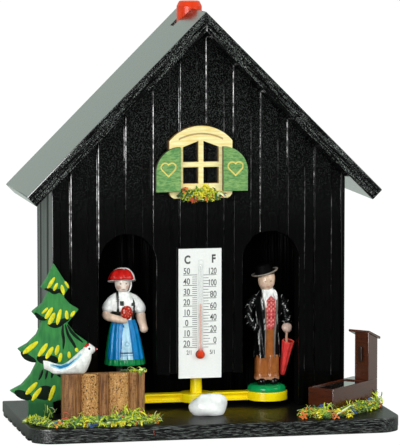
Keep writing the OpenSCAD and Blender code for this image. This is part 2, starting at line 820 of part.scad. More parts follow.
// Turnstile: hub with its post, two flanged arms and a disc for each figure
module turnstile() {
    color(yellow) translate([0, axis_y, turn_z0]) difference() {
        union() {
            cylinder(r = hub_r, h = turn_t);
            translate([0, 0, turn_t - eps]) cylinder(r1 = post_foot_r, r2 = post_top_r, h = post_h);
            for (side = [-1, 1]) translate([side * arm_l, 0, 0]) cylinder(r = disc_r, h = turn_t);
            translate([-arm_l, -web_t / 2, 0]) cube([2 * arm_l, web_t, turn_t]);
            for (z = [0, turn_t - flange_t])
                translate([-arm_l, -arm_w / 2, z]) cube([2 * arm_l, arm_w, flange_t]);
        }
        translate([0, 0, -eps]) cylinder(r = gut_r + gut_play, h = turn_t + post_h + 2 * eps);
        translate([0, 0, -eps]) cylinder(r = knot_r + knot_play, h = 2 * knot_r + knot_play + eps);
    }
}

// Low domed foot that a figure is moulded on
module figure_foot() {
    round_r = figure_base_h / 2;
    rotate_extrude() {
        square([figure_base_r - round_r, figure_base_h]);
        square([figure_base_r, round_r]);
        translate([figure_base_r - round_r, round_r]) circle(round_r, $fn = 24);
    }
}

// Sets a figure on its disc, side -1 for the left arm and 1 for the right
module on_disc(side) {
    translate([side * arm_l, axis_y, turn_z1]) children();
}

// Woman: pleated skirt, bodice with puff sleeves, one forearm bent to a posy, and a round hat
module woman_figure() {
    color([0.1, 0.4, 0.7]) on_disc(-1) {
        figure_foot();
        scale(figure_size) {
            for (x = [-2, 2]) limb([[x, -1.2, 2.6], [x, -0.2, 5], [x, 0, 12]], [1.3, 1.2, 1.5]);
            loft([[11.4, 0, 0, 7.35, 6, 0.03], [15, -0.1, 0, 6.9, 5.7, 0.03], [19, -0.2, 0, 6.3, 5.1, 0.02],
                [24, -0.4, 0, 5.5, 4.3, 0.01], [26.6, -0.5, 0, 4.6, 3.4, 0]], 48);
            loft([[26, -0.5, 0, 4.5, 3.3], [28.5, -0.5, 0, 4.1, 3.1], [32, -0.5, -0.2, 4.9, 3.5],
                [35, -0.6, 0, 4.9, 3], [37, -0.8, 0, 3.2, 2.3], [38.4, -1, 0, 1.9, 1.9]], 24);
            loft([[37.4, -1, -0.4, 1.5, 1.6], [38.4, -1, -0.6, 2.4, 2.5], [39.8, -1, -0.5, 3, 3],
                [41.8, -1, -0.4, 3.1, 3.1], [43.5, -1, -0.2, 2.8, 2.8]], 20);
            loft([[41.2, -1, 0.2, 4.7, 4.5], [41.8, -1, 0.2, 5, 4.8], [43.2, -1, 0.2, 4.7, 4.5],
                [45, -1, 0.3, 3.4, 3.3], [46.1, -1, 0.3, 1.5, 1.5]], 24);
            limb([[-3.8, 0, 35.2], [-6, -0.2, 32.8], [-6.7, -0.3, 31]], [1.6, 2.2, 2]);
            limb([[-6.9, -0.4, 30], [-7, -0.8, 28.4], [-3.2, -3.6, 27.6], [-0.6, -4.2, 27.2]],
                [1.4, 1.5, 1.3, 1.2]);
            limb([[2.8, 0, 35.2], [5.4, -0.2, 32.6], [5.9, -0.3, 30]], [1.6, 2.2, 2]);
            limb([[5.9, -0.3, 29], [6.3, -0.6, 26], [6.9, -1.4, 23.4]], [1.5, 1.3, 1.3]);
            translate([0, -4.4, 30.4]) sphere(2.3, $fn = 18);
        }
    }
}

// Man: wide trousers, open long coat over a vest, one hand in his pocket, and a tilted hat
module man_figure() {
    color([0.1, 0.1, 0.1]) on_disc(1) {
        figure_foot();
        scale(figure_size) {
            for (x = [-2.1, 2.3]) {
                limb([[x, -2.2, 2.9], [x, -0.4, 3.1]], [1.4, 1.6]);
                loft([[3.6, x, 0, 2.3, 2.3], [6, x, 0, 2.4, 2.4], [13, x * 0.95, 0, 2.4, 2.6]], 20);
            }
            loft([[12.6, 0.1, 0, 4.2, 2.8], [22, 0.2, 0, 3.9, 2.8], [30, 0.3, 0, 4, 3],
                [35, 0.3, 0, 3.4, 2.6], [38, -0.2, 0, 1.8, 1.8]], 24);
            difference() {
                loft([[12.2, 0.1, 0, 4.75, 3.5], [18, 0.2, 0, 4.6, 3.4], [24, 0.3, 0, 4.6, 3.4],
                    [31, 0.4, 0, 5.2, 3.6], [34.6, 0.4, 0, 5.2, 3.3], [36.4, 0.3, 0.1, 3.4, 2.6],
                    [37.6, 0, 0.2, 2.3, 2.1]], 28);
                translate([-0.6, -6, 10]) cube([3.5, 5, 20]);
                hull() {
                    translate([-0.6, -6, 29.5]) cube([3.5, 5, 0.1]);
                    translate([-2.2, -6, 37]) cube([5, 5, 0.1]);
                }
            }
            loft([[37, -0.3, -0.3, 1.5, 1.6], [38, -0.3, -0.6, 2.3, 2.4], [39.6, -0.3, -0.5, 3, 3],
                [41.5, -0.2, -0.3, 3.1, 3.1], [43.4, -0.1, 0, 2.7, 2.8]], 20);
            translate([-0.6, 0.2, 42.9]) rotate([0, -15, 0]) {
                loft([[-0.5, 0, 0, 4.7, 4.5], [0, 0, 0, 5, 4.8], [0.7, 0, 0, 4.6, 4.4],
                    [0.9, 0, 0, 3.3, 3.3], [3, 0, 0, 3, 3], [3.8, 0, 0, 2.2, 2.2]], 28);
            }
            limb([[-4.2, 0.2, 34.2], [-6.4, 0.3, 30], [-6.6, -0.2, 26.8], [-4.4, -1.6, 22.8]],
                [1.7, 1.7, 1.7, 1.6]);
            limb([[4.8, 0.2, 34.2], [6.5, 0.2, 30], [7.1, -0.4, 26.2], [7.2, -1, 24.4]],
                [1.7, 1.7, 1.6, 1.6]);
            limb([[7.3, -1.1, 23.6], [7.4, -1.4, 22.4]], [1.5, 1.7]);
        }
    }
}

// Closed umbrella hanging from the man's hand
module umbrella() {
    color([0.85, 0.12, 0.12]) on_disc(1) scale(figure_size) translate([8.2, -1.5, 20.5])
        rotate([0, 7, 0]) translate([0, 0, -15.9]) rotate_extrude() polygon([[0, 0], [0.95, 0.3], [1.2, 2],
            [1.95, 12.8], [1.7, 13.5], [0.55, 13.7], [0.45, 15.9], [0, 15.9]]);
}

base_plate();
front_wall();
left_side_wall();
right_side_wall();
back_wall();
left_roof_board();
right_roof_board();
chimney();
window_frame();
left_shutter();
right_shutter();
window_flowers();
thermometer_card();
thermometer_tube();
thermometer_fluid();
fir_tree();
log_palisade();
bird();
white_stone();
trough();
trough_water();
fountain_post();
post_cap();
spout();
left_grass();
right_grass();
gut_hanger();
adjusting_peg();
gut_strand();
turnstile();
woman_figure();
man_figure();
umbrella();
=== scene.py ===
"""Weather house: the looks of the part, in the frame of its solids.

Shapes are worked out in millimetres and become metres where a mesh is put in.
X runs to the right seen from the front, Y to the back and Z up.
"""
import math

import bmesh
import bpy
import numpy as np
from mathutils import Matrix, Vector


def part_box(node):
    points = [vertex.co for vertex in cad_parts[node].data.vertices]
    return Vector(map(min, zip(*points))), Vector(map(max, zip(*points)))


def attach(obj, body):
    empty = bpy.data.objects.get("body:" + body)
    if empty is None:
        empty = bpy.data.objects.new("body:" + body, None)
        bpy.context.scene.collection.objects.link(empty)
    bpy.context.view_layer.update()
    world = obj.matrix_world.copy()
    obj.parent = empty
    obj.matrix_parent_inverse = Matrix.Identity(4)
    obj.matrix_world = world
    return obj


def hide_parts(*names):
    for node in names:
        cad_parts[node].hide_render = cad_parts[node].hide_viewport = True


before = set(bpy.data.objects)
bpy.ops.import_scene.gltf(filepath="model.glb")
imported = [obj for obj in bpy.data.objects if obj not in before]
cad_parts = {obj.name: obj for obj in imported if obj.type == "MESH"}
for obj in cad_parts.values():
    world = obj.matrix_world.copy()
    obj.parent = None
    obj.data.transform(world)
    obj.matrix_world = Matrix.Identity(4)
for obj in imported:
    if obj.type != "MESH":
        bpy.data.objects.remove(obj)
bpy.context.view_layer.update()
MM = 0.001
TURN = 2 * math.pi
rng = np.random.default_rng(41)


# Materials

def linear(code):
    """An sRGB hex value as linear red, green, blue and full alpha."""
    c = np.array([int(code[i:i + 2], 16) for i in (1, 3, 5)]) / 255
    c = np.where(c <= 0.04045, c / 12.92, ((c + 0.055) / 1.055) ** 2.4)
    return (*c.tolist(), 1.0)


def fill(tree, target, inputs):
    """Gives a node's inputs their plain values, hex colours or sockets to link."""
    for key, value in inputs.items():
        if isinstance(value, bpy.types.NodeSocket):
            tree.links.new(value, target.inputs[key])
        else:
            target.inputs[key].default_value = linear(value) if isinstance(value, str) else value


def node(tree, kind, inputs=(), out=0, **settings):
    """Adds one shader node with its settings and its inputs, by name or in their order, and gives its output out."""
    new = tree.nodes.new("ShaderNode" + kind)
    for key, value in settings.items():
        setattr(new, key, value)
    fill(tree, new, inputs if isinstance(inputs, dict) else dict(enumerate(inputs)))
    return new.outputs[out]


def surface(name):
    """A new material, and its tree."""
    material = bpy.data.materials.new(name)
    material.use_nodes = True
    return material, material.node_tree


def dressed(material, raised=None, **inputs):
    """Gives a material's shader its inputs, named with _ for a space.
    raised is a pattern, by how many mm it stands up, and how strongly that shows."""
    tree = material.node_tree
    if raised:
        pattern, depth, strength = raised
        inputs["Normal"] = node(tree, "Bump", {"Height": pattern, "Distance": depth * MM, "Strength": strength})
    fill(tree, tree.nodes["Principled BSDF"], {key.replace("_", " "): value for key, value in inputs.items()})
    return material


def covered(tree, share, cover):
    """Lays another shader over a share of the material's own."""
    both = node(tree, "MixShader", (share, tree.nodes["Principled BSDF"].outputs[0], cover))
    fill(tree, tree.nodes["Material Output"], {"Surface": both})


def metres(tree, axis):
    """A place on the piece along one axis, in metres from the frame's origin."""
    return node(tree, "SeparateXYZ", (node(tree, "TexCoord", out="Object"),), axis)


def lumps(tree, sizes, detail=3.0, seed=0.0, place=None):
    """Noise whose lumps measure sizes, in mm, along the three axes of place, or else of Object coordinates."""
    place = place or node(tree, "TexCoord", out="Object")
    scale = [1 / (size * MM) for size in sizes]
    stretch = node(tree, "Mapping", {"Vector": place, "Scale": scale, "Location": (seed, seed, seed)})
    return node(tree, "TexNoise", {"Vector": stretch, "Scale": 1.0, "Detail": detail, "Roughness": 0.6})


def blend(tree, share, first, second, low=0.0, high=1.0, most=1.0):
    """Goes from the first colour towards the second, up to most, as the share goes from low to high."""
    share = node(tree, "MapRange", (share, low, high, 0.0, most))
    return node(tree, "Mix", {0: share, 6: first, 7: second}, 2, data_type="RGBA")


def two_tone(name, sizes, codes, raised, detail=3.0, span=(0.35, 0.7), **inputs):
    """A finish that wanders between two colours in lumps of these sizes.
    raised is by how many mm they stand up, and how strongly that shows."""
    material, tree = surface(name)
    tone = lumps(tree, sizes, detail)
    return dressed(material, raised and (tone, *raised), Base_Color=blend(tree, tone, *codes, *span), **inputs)


def slope_place(tree):
    """A place on a roof board: across the board, along the ridge, and down the slope."""
    out, up = node(tree, "Math", (metres(tree, "X"),), operation="ABSOLUTE"), metres(tree, "Z")
    across, down = (node(tree, "Math", (out, up), operation=kind) for kind in ("ADD", "SUBTRACT"))
    return node(tree, "CombineXYZ", (across, metres(tree, "Y"), down))


def lacquered_pine(name, sizes, fibres, ridge, bare, painted_glints, gloss=(0.1, 0.2)):
    """Black lacquer sprayed on sawn pine: the film leaves the grain as ridges, ridge mm high, that glint.
    Pale flecks that measure fibres, in mm, are painted in bare where painted_glints lets them: a painted glint.
    painted_glints is a function of the material's tree that gives that share, and the film's shine."""
    material, tree = surface(name)
    grain, fibre = lumps(tree, sizes, 4.0), lumps(tree, fibres, 3.0, 5.0)
    film = blend(tree, grain, "#010101", "#050605", 0.35, 0.7)
    share, shine = painted_glints(tree)
    share = node(tree, "Math", (node(tree, "MapRange", (fibre, 0.5, 0.66)), share), operation="MULTIPLY")
    return dressed(material, (grain, ridge, 1.0), IOR=1.6, Specular_IOR_Level=shine,
                   Roughness=node(tree, "MapRange", (fibre, 0.3, 0.7, *gloss)),
                   Base_Color=blend(tree, share, film, bare))


def dulled(tree, share):
    """Lays a share of dry dust over the lacquer."""
    covered(tree, share, node(tree, "BsdfDiffuse", {"Color": "#0c0d0c"}))


def glints_and_dust_high_up(tree):
    """The wall has more painted glint flecks towards the gable. Its grooves and edges, attribute cut above 0, glint
    in dashes.
    The sides of its arches and its outer sides, cut below 0, are dulled by dust."""
    cut = node(tree, "Attribute", out="Fac", attribute_name="cut")
    dash = node(tree, "MapRange", (lumps(tree, (3, 3, 2.2), 3.0, 14.0), 0.42, 0.58, 0.12, 0.75))
    dash = node(tree, "Math", (dash, cut), operation="MULTIPLY")
    glint = node(tree, "Math", (dash, node(tree, "MapRange", (cut, 0, 1, 0.4, 0))), operation="MAXIMUM")
    dulled(tree, node(tree, "MapRange", (cut, -1, 0, 0.9, 0)))
    return node(tree, "MapRange", (metres(tree, "Z"), 0.07, 0.11)), glint


def dulled_off_front(tree):
    """Painted glint flecks cover the base's front and, more thinly, its other faces. Faces that don't look to the
    front, attribute cut 1, are half dulled by dust.
    """
    cut = node(tree, "Attribute", out="Fac", attribute_name="cut")
    dulled(tree, node(tree, "MapRange", (cut, 0, 1, 0, 0.48)))
    return node(tree, "MapRange", (cut, 0, 1, 1, 0.3)), 0.4


def glints_at_ends(tree):
    """A roof board has painted glints on its end grain, attribute cut 1, in streaks down the slope.
    On its edges, cut 2, the painted glint covers it all over."""
    cut = node(tree, "Attribute", out="Fac", attribute_name="cut")
    streak = lumps(tree, (0.9, 0.9, 14), 3.0, 9.0, slope_place(tree))
    streak = node(tree, "Math", (node(tree, "MapRange", (streak, 0.42, 0.6, 0, 1.15)), cut), operation="MULTIPLY")
    return node(tree, "Math", (streak, node(tree, "MapRange", (cut, 1, 2))), operation="MAXIMUM"), 0.5


def sawn_pine():
    """Black stain on rough-sawn pine: upright saw ridges break the sheen, and outside the stain is paler in broad
    stripes.
    """
    material, tree = surface("black_stained_sawn_pine")
    ridge, stripe = lumps(tree, (0.7, 0.7, 40), 2.0), lumps(tree, (3.4, 3.4, 120), 1.0, 2.0)
    cut = node(tree, "Attribute", out="Fac", attribute_name="cut")
    pale_stripes = blend(tree, stripe, "#121513", "#484e4b", 0.42, 0.58)
    sheen = node(tree, "Math", (node(tree, "MapRange", (cut, 0, 1, 0.05, 0.15)),
                                node(tree, "MapRange", (stripe, 0.42, 0.58, 0.1, 1.2))), operation="MULTIPLY")
    return dressed(material, (ridge, 0.35, 1.0), Roughness=0.42, IOR=1.5, Specular_IOR_Level=sheen,
                   Base_Color=blend(tree, cut, "#040504", pale_stripes))


def laser_cut_birch():
    """Birch ply cut by laser: pale yellow veneer with faint grain, its cut sides scorched brown."""
    material, tree = surface("laser_cut_birch_ply")
    grain = lumps(tree, (7, 7, 0.7))
    veneer = blend(tree, grain, "#fff5bc", "#f5da84", 0.35, 0.68)
    char = blend(tree, grain, "#7a4f1a", "#bd8936", 0.3, 0.7)
    cut = node(tree, "Attribute", out="Fac", attribute_name="cut")
    return dressed(material, (grain, 0.05, 0.5), Roughness=0.55, IOR=1.45, Base_Color=blend(tree, cut, veneer, char))


def stained_shutter():
    """Thin ply stained green: the grain takes more or less stain, sides are scorched, engraved lines are unstained.
    """
    material, tree = surface("green_stained_ply")
    grain = lumps(tree, (1.5, 1.5, 0.5), 4.0)
    cut = node(tree, "Attribute", out="Fac", attribute_name="cut")
    stain = blend(tree, grain, "#468545", "#8db468", 0.36, 0.66)
    edge = blend(tree, cut, stain, "#3a3018", 0, 0.5)
    return dressed(material, (grain, 0.06, 0.5), Roughness=0.5, IOR=1.45,
                   Base_Color=blend(tree, cut, edge, "#e6d873", 0.5, 1))


def enamel(name, roughness, shine=0.5):
    """Enamel brushed by hand on a moulding: glossy, with slightly uneven colour and thickness.
    The colour is the piece's own attribute, paint."""
    material, tree = surface(name)
    paint = node(tree, "Attribute", out="Color", attribute_name="paint")
    film = lumps(tree, (1.6, 1.6, 2.4))
    darker = node(tree, "Mix", {0: 1.0, 6: paint, 7: "#d6d6d6"}, 2, data_type="RGBA", blend_type="MULTIPLY")
    return dressed(material, (film, 0.18, 0.6), Roughness=roughness, IOR=1.5, Specular_IOR_Level=shine,
                   Base_Color=blend(tree, film, paint, darker, 0.35, 0.7))


def gloss_moulding(name, codes, roughness, shine):
    """Moulded styrene or smooth enamel in one colour, glossy, with faint flow marks."""
    return two_tone(name, (5, 5, 9), codes, (0.1, 0.4), 2.0, Roughness=roughness, IOR=1.55, Specular_IOR_Level=shine)


def dyed_flock():
    """Dyed sawdust and moss fibres, glued on: matt, each flake in its own colour."""
    material, tree = surface("dyed_flock")
    paint = node(tree, "Attribute", out="Color", attribute_name="paint")
    pale = node(tree, "Mix", {0: 0.1, 6: paint, 7: "#f2f0a0"}, 2, data_type="RGBA")
    return dressed(material, Roughness=0.8, IOR=1.4, Sheen_Weight=0.2,
                   Base_Color=blend(tree, lumps(tree, (0.5, 0.5, 0.5)), paint, pale, 0.4, 0.65))


def painted_tree():
    """Poster green brushed on a sawn cut-out: satin, with streaks down the boughs and a darker trunk."""
    material, tree = surface("tree_green_paint")
    brush, patch = lumps(tree, (1.4, 3, 7), 4.0), lumps(tree, (9, 9, 9), 1.0, 3.0)
    green = blend(tree, brush, "#429049", "#2f7440", 0.35, 0.68)
    boughs = blend(tree, patch, green, "#23603a", 0.45, 0.7, 0.6)
    trunk = node(tree, "MapRange", (metres(tree, "Z"), 0.0105, 0.014, 0.8, 0))
    return dressed(material, (brush, 0.12, 0.5), Roughness=0.5, IOR=1.5, Specular_IOR_Level=0.12,
                   Base_Color=blend(tree, trunk, boughs, "#174a29"))


def cork_bark():
    """Split twigs and cork: brown with long cracks, the cork poles paler, with dark pores and light crumbs.
    The piece's attribute, cork, says which pole is cork."""
    material, tree = surface("twig_and_cork")
    crack, pore = lumps(tree, (0.7, 0.7, 7), 5.0), lumps(tree, (0.6, 0.6, 0.75), 3.0, 7.0)
    crumb = lumps(tree, (0.55, 0.55, 0.5), 2.0, 19.0)
    bark = blend(tree, crack, "#5b381d", "#a87649", 0.34, 0.64)
    bark = blend(tree, crumb, bark, "#3a2412", 0.56, 0.68, 0.5)
    pale = blend(tree, crack, "#a8723a", "#cf9c5c", 0.36, 0.66)
    crumbs = blend(tree, crumb, pale, "#e6bd84", 0.54, 0.66, 0.8)
    dark = blend(tree, pore, crumbs, "#4a2a10", 0.54, 0.62)
    cork = node(tree, "Attribute", out="Fac", attribute_name="cork")
    rough = node(tree, "Math", (crack, pore), operation="SUBTRACT")
    return dressed(material, (rough, 0.35, 0.8), Roughness=0.66, IOR=1.45, Specular_IOR_Level=0.3,
                   Base_Color=blend(tree, cork, bark, dark))


# Heights in metres between which the bulb narrows into the column
BULB_NECK = (0.0265, 0.0285)


def tube_glass():
    """Thin drawn glass: a faint near-white veil, painted for the light the glass reflects, with a sheen over the
    column, and red through and through at the bulb.
    """
    material, tree = surface("drawn_glass")
    height = metres(tree, "Z")
    # Near-white shown at low alpha: a painted veil of reflected light.
    clear = blend(tree, lumps(tree, (1.5, 1.5, 6), 1.0), "#fbfdfd", "#eef4f2", 0.35, 0.7)
    return dressed(material, Roughness=0.08, IOR=1.5, Alpha=node(tree, "MapRange", (height, *BULB_NECK, 0.5, 0.14)),
                   Base_Color=blend(tree, height, "#fb4a17", clear, *BULB_NECK))


def dyed_spirit():
    """Red dyed spirit: full colour in the bulb, washed out by the tube's lens where the column is thin."""
    material, tree = surface("red_dyed_spirit")
    bulb = blend(tree, lumps(tree, (1, 1, 3), 1.0), "#f43e14", "#e32c0c", 0.35, 0.7)
    return dressed(material, Roughness=0.1, IOR=1.36,
                   Base_Color=blend(tree, metres(tree, "Z"), bulb, "#ebad99", *BULB_NECK))


# Tumbled white quartz: glossy and faintly cloudy
white_pebble = two_tone("tumbled_quartz", (4, 4, 3), ("#fbfbfa", "#e4e6e6"), (0.5, 0.5), Roughness=0.16, IOR=1.54,
                        Subsurface_Weight=0.15, Subsurface_Radius=(0.002, 0.002, 0.002))
# Red-brown gloss paint on small planed wood: it mirrors the pale room at a slant, brush marks along the length
brown_paint = two_tone("red_brown_gloss_paint", (6, 6, 0.9), ("#4c1d06", "#3c1604"), (0.02, 0.4),
                       Roughness=0.2, IOR=1.5, Specular_IOR_Level=0.72)
# Bare beech: pinkish brown with short dark flecks
bare_beech = two_tone("bare_beech", (1.2, 1.2, 8), ("#caa274", "#a87a4c"), (0.08, 0.5), 4.0, (0.35, 0.68),
                      Roughness=0.6, IOR=1.45)
# Dried gut: amber, half clear and waxy
twisted_gut = two_tone("twisted_gut", (0.3, 0.3, 3), ("#dcc48a", "#b8924e"), (0.05, 0.5), 2.0, Roughness=0.35,
                       IOR=1.5, Subsurface_Weight=0.2, Subsurface_Radius=(0.001, 0.0007, 0.0004))
# White plastic card, satin, with a faint moulded grain
satin_card = two_tone("white_scale_card", (0.6, 0.6, 0.6), ("#f6f6f4", "#eeefee"), None, 2.0, (0.3, 0.7),
                      Roughness=0.45, IOR=1.46)
# Grey-black printing ink, slightly uneven where the screen laid it thin
printing_ink = two_tone("printing_ink", (0.4, 0.4, 0.4), ("#333534", "#636664"), None, 2.0, Roughness=0.5, IOR=1.45)
# Clear varnish poured over dark paint: reads as still water
still_water = two_tone("varnish_water", (5, 5, 5), ("#1a1412", "#2a2320"), (0.15, 0.3), 2.0, Roughness=0.05, IOR=1.4)


# Shapes

# Distance in metres within which a solid's corners are one, and angles: joined as flat, bevelled, shaded smooth,
# and shaded sharp between the faces of a new piece
WELD = 0.002 * MM
FLAT, SHARP, SMOOTH, PART_SHARP = (math.radians(degrees) for degrees in (0.5, 32, 40, 50))


def smooth_rows(rows, count):
    """Catmull-Rom: every number of the rows runs along a cubic through them, sampled count times."""
    p = np.asarray(rows, float)
    q = np.vstack([2 * p[0] - p[1], p, 2 * p[-1] - p[-2]])
    t = np.linspace(0, len(p) - 1, count)
    i = np.clip(t.astype(int), 0, len(p) - 2)
    f = (t - i)[:, None]
    a, b, c, d = q[i], q[i + 1], q[i + 2], q[i + 3]
    return 0.5 * (2 * b + (c - a) * f + (2 * a - 5 * b + 4 * c - d) * f ** 2 + (3 * b - a - 3 * c + d) * f ** 3)


def around(count):
    """Even angles, once all the way round."""
    return np.linspace(0, TURN, count, endpoint=False)


def headings(path):
    """Unit directions along the points of a path."""
    t = np.gradient(path, axis=0)
    return t / np.linalg.norm(t, axis=1, keepdims=True)


def turned(first, second, angle):
    """Two axes turned by an angle, the first towards the second."""
    c, s = math.cos(angle), math.sin(angle)
    return first * c - second * s, first * s + second * c


def loops(rows, cols):
    """Quads between rows of closed loops with cols points each; the end rows become flat caps."""
    here = np.arange(rows * cols).reshape(rows, cols)
    there = np.roll(here, -1, 1)
    quads = np.stack([here[:-1], there[:-1], there[1:], here[1:]], -1).reshape(-1, 4)
    return quads.tolist() + [here[0, ::-1].tolist(), here[-1].tolist()]


def skin(grid):
    """The points of a grid, rows along the path and columns round it, and the faces over them."""
    return grid.reshape(-1, 3), loops(*grid.shape[:2])


def rings(sections, count, sides, folds=0, phase=0.0, corner=2.0):
    """Level rings: each section is (z, x, y, half width, half depth, fold), smoothed between sections.
    A ring is a superellipse of power corner, its radius times 1 + fold cos(folds a + phase).
    Angle a starts at the front and runs to the right."""
    s = smooth_rows([list(row) + [0.0] * (6 - len(row)) for row in sections], count)[:, :, None]
    a = around(sides)
    wave = 1 + s[:, 5] * np.cos(folds * a + phase)
    across = np.sign(np.sin(a)) * np.abs(np.sin(a)) ** (2 / corner)
    ahead = np.sign(np.cos(a)) * np.abs(np.cos(a)) ** (2 / corner)
    x = s[:, 1] + s[:, 3] * wave * across
    y = s[:, 2] - s[:, 4] * wave * ahead
    return np.stack([x, y, np.broadcast_to(s[:, 0], x.shape)], -1)


def tube(path, radii, count=28, sides=20, flat=1.0, creases=0.0):
    """A round profile carried along a smooth path, its ends rounded off.
    flat squeezes the profile across the path's plane, and creases waves its radius along the path."""
    c = smooth_rows(path, count)
    r = smooth_rows(np.asarray(radii, float)[:, None], count)[:, 0]
    along = np.concatenate([[0], np.cumsum(np.linalg.norm(np.diff(c, axis=0), axis=1))])
    near = np.minimum(along, along[-1] - along)
    r = r * np.sqrt(np.clip(1 - (1 - np.clip(near / r, 0.02, 1)) ** 2, 0, 1))
    r = r * (1 + creases * np.sin(along * 3.1) * np.sin(along * 1.3 + 1))
    t = headings(c)
    u = np.cross(t, [0.12, 1.0, 0.05])
    u /= np.linalg.norm(u, axis=1, keepdims=True)
    v = np.cross(t, u)
    a = around(sides)[None, :, None]
    return c[:, None] + r[:, None, None] * (np.cos(a) * u[:, None] + flat * np.sin(a) * v[:, None])


def ball(centre, half, rows=24, sides=32, dents=0.0, count=5):
    """An ellipsoid round a centre; its radius waves by dents, count times round and twice from pole to pole."""
    p = np.linspace(-0.497, 0.497, rows)[:, None] * math.pi
    a = around(sides)[None]
    k = 1 + dents * np.sin(count * a + 2 * p) * np.cos(p) * np.cos(3 * p + 0.6)
    unit = np.stack([k * np.cos(p) * np.sin(a), -k * np.cos(p) * np.cos(a), k * np.sin(p) + 0 * a], -1)
    return np.asarray(centre, float) + unit * np.asarray(half, float)


def band(sections, count, left, right, sides, thick):
    """A strip of ring, thick mm deep, over the angles left to right, which may differ from ring to ring.
    The outer face and the inner face are one closed loop at each level."""
    s = smooth_rows(sections, count)
    f = np.linspace(0, 1, sides)
    a = left[:, None] + (right - left)[:, None] * f
    loop = np.concatenate([a, a[:, ::-1]], 1)
    deep = np.concatenate([np.zeros(sides), np.full(sides, thick)])
    x = s[:, 1, None] + (s[:, 3, None] - deep) * np.sin(loop)
    y = s[:, 2, None] - (s[:, 4, None] - deep) * np.cos(loop)
    return np.stack([x, y, np.broadcast_to(s[:, 0, None], x.shape)], -1)


def coloured(grid, paint):
    """A part of a painted piece: its skin and a linear colour for each point.
    paint is a hex value, or a function of x, y and z that gives a hex value and (where, hex) pairs laid over it."""
    points, faces = skin(grid)
    ground, *over = [paint] if isinstance(paint, str) else paint(*points.T)
    colours = np.tile(linear(ground), (len(points), 1))
    for where, code in over:
        colours[where] = linear(code)
    return points, faces, colours


def box_mm(name):
    """The low and the high corner of a solid, in mm."""
    return [np.array(corner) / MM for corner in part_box(name)]


def piece(name, parts, material, body, nodes=(), place=(0, 0, 0), smooth=True, extra=None):
    """Joins parts into one mesh at the origin, faces outwards, with its colours in the attribute paint."""
    points, faces, colours, start = [], [], [], 0
    for part in parts:
        points.append(part[0])
        faces += [[start + i for i in face] for face in part[1]]
        colours.append(part[2] if len(part) > 2 else np.ones((len(part[0]), 4)))
        start += len(part[0])
    mesh = bpy.data.meshes.new(name)
    mesh.from_pydata(((np.concatenate(points) + place) * MM).tolist(), [], faces)
    paint = mesh.attributes.new("paint", "FLOAT_COLOR", "POINT")
    paint.data.foreach_set("color", np.concatenate(colours).ravel())
    if extra:
        values = mesh.attributes.new(extra[0], "FLOAT", "POINT")
        values.data.foreach_set("value", np.asarray(extra[1], float))
    work = bmesh.new()
    work.from_mesh(mesh)
    bmesh.ops.recalc_face_normals(work, faces=work.faces)
    work.to_mesh(mesh)
    work.free()
    mesh.polygons.foreach_set("use_smooth", np.full(len(mesh.polygons), smooth))
    mesh.set_sharp_from_angle(angle=PART_SHARP)
    mesh.materials.append(material)
    return seat(bpy.data.objects.new(name, mesh), body, nodes)


def seat(obj, body, nodes):
    """Puts a finished piece into the scene, on its body and the solids it stands for."""
    bpy.context.scene.collection.objects.link(obj)
    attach(obj, body)
    if nodes:
        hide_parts(*nodes)
    return obj


def eased(name, width, material, body="house", cut=None, clamp=True):
    """A solid with its sharp edges rounded: merged, its flat faces joined, its edges bevelled by width mm.
    clamp keeps all edges to the width that the shortest one allows.
    cut says, from a face's centre in mm and its normal, how much of the attribute cut it takes."""
    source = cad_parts[name]
    work = bmesh.new()
    work.from_mesh(source.data)
    bmesh.ops.remove_doubles(work, verts=work.verts, dist=WELD)
    bmesh.ops.dissolve_limit(work, angle_limit=FLAT, verts=work.verts, edges=work.edges)
    sharp = [e for e in work.edges if len(e.link_faces) == 2 and e.calc_face_angle(0) > SHARP]
    made = bmesh.ops.bevel(work, geom=sharp, offset=width * MM, segments=2, profile=0.6, affect="EDGES",
                           clamp_overlap=clamp)
    rounded = set(made["faces"])
    for edge in work.edges:
        sides = [face in rounded for face in edge.link_faces]
        edge.smooth = len(set(sides)) == 1 and edge.calc_face_angle(0) < SMOOTH
    mesh = bpy.data.meshes.new("eased_" + name)
    work.to_mesh(mesh)
    work.free()
    mesh.polygons.foreach_set("use_smooth", np.ones(len(mesh.polygons), bool))
    if cut:
        count = len(mesh.polygons)
        centre, normal = np.zeros(count * 3), np.zeros(count * 3)
        mesh.polygons.foreach_get("center", centre)
        mesh.polygons.foreach_get("normal", normal)
        values = mesh.attributes.new("cut", "FLOAT", "FACE")
        values.data.foreach_set("value", cut(centre.reshape(-1, 3) / MM, normal.reshape(-1, 3)).astype(float))
    mesh.materials.append(material)
    return seat(bpy.data.objects.new("eased_" + name, mesh), body, (name,))


def keep(name, material):
    """Shows a solid as it is, with a procedural material."""
    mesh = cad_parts[name].data
    mesh.materials.clear()
    mesh.materials.append(material)


# The house

def end_grain(centre, normal):
    """End grain of a roof board, 1 on faces that look to the front; more on their edges, most on the lower right, for
    painted glint lines.
    """
    end = normal[:, 1] < -0.95
    edge = (normal[:, 1] < -0.3) & ~end
    painted_edge_glint = np.where((normal[:, 2] < 0) & (centre[:, 0] > 0), 2.0, 1.35)
    return np.where(edge, painted_edge_glint, end)


def outward_faces(centre, normal):
    """Faces that look out of the house to a side or to the back."""
    return (normal[:, 1] > 0.9) | ((np.abs(normal[:, 0]) > 0.9) & (normal[:, 0] * centre[:, 0] > 0))


def off_front(centre, normal):
    """1 on the sides of the wall's grooves, which look aslant to the front, and less on its outer edges.
    -1 on the sides of its arches and half of that on its outer sides."""
    outer = np.abs(centre[:, 0]) > 50
    aslant = (normal[:, 1] > -0.99) & (normal[:, 1] < -0.2)
    side = (np.abs(normal[:, 1]) < 0.2) & (normal[:, 2] < 0.1)
    return np.where(outer, 0.35, 1.0) * aslant - np.where(outer, 0.5, 1.0) * side


def not_ahead(centre, normal):
    """Faces of the base that look up, back or to a side."""
    return np.clip(1.0 + 1.4 * normal[:, 1], 0, 1)
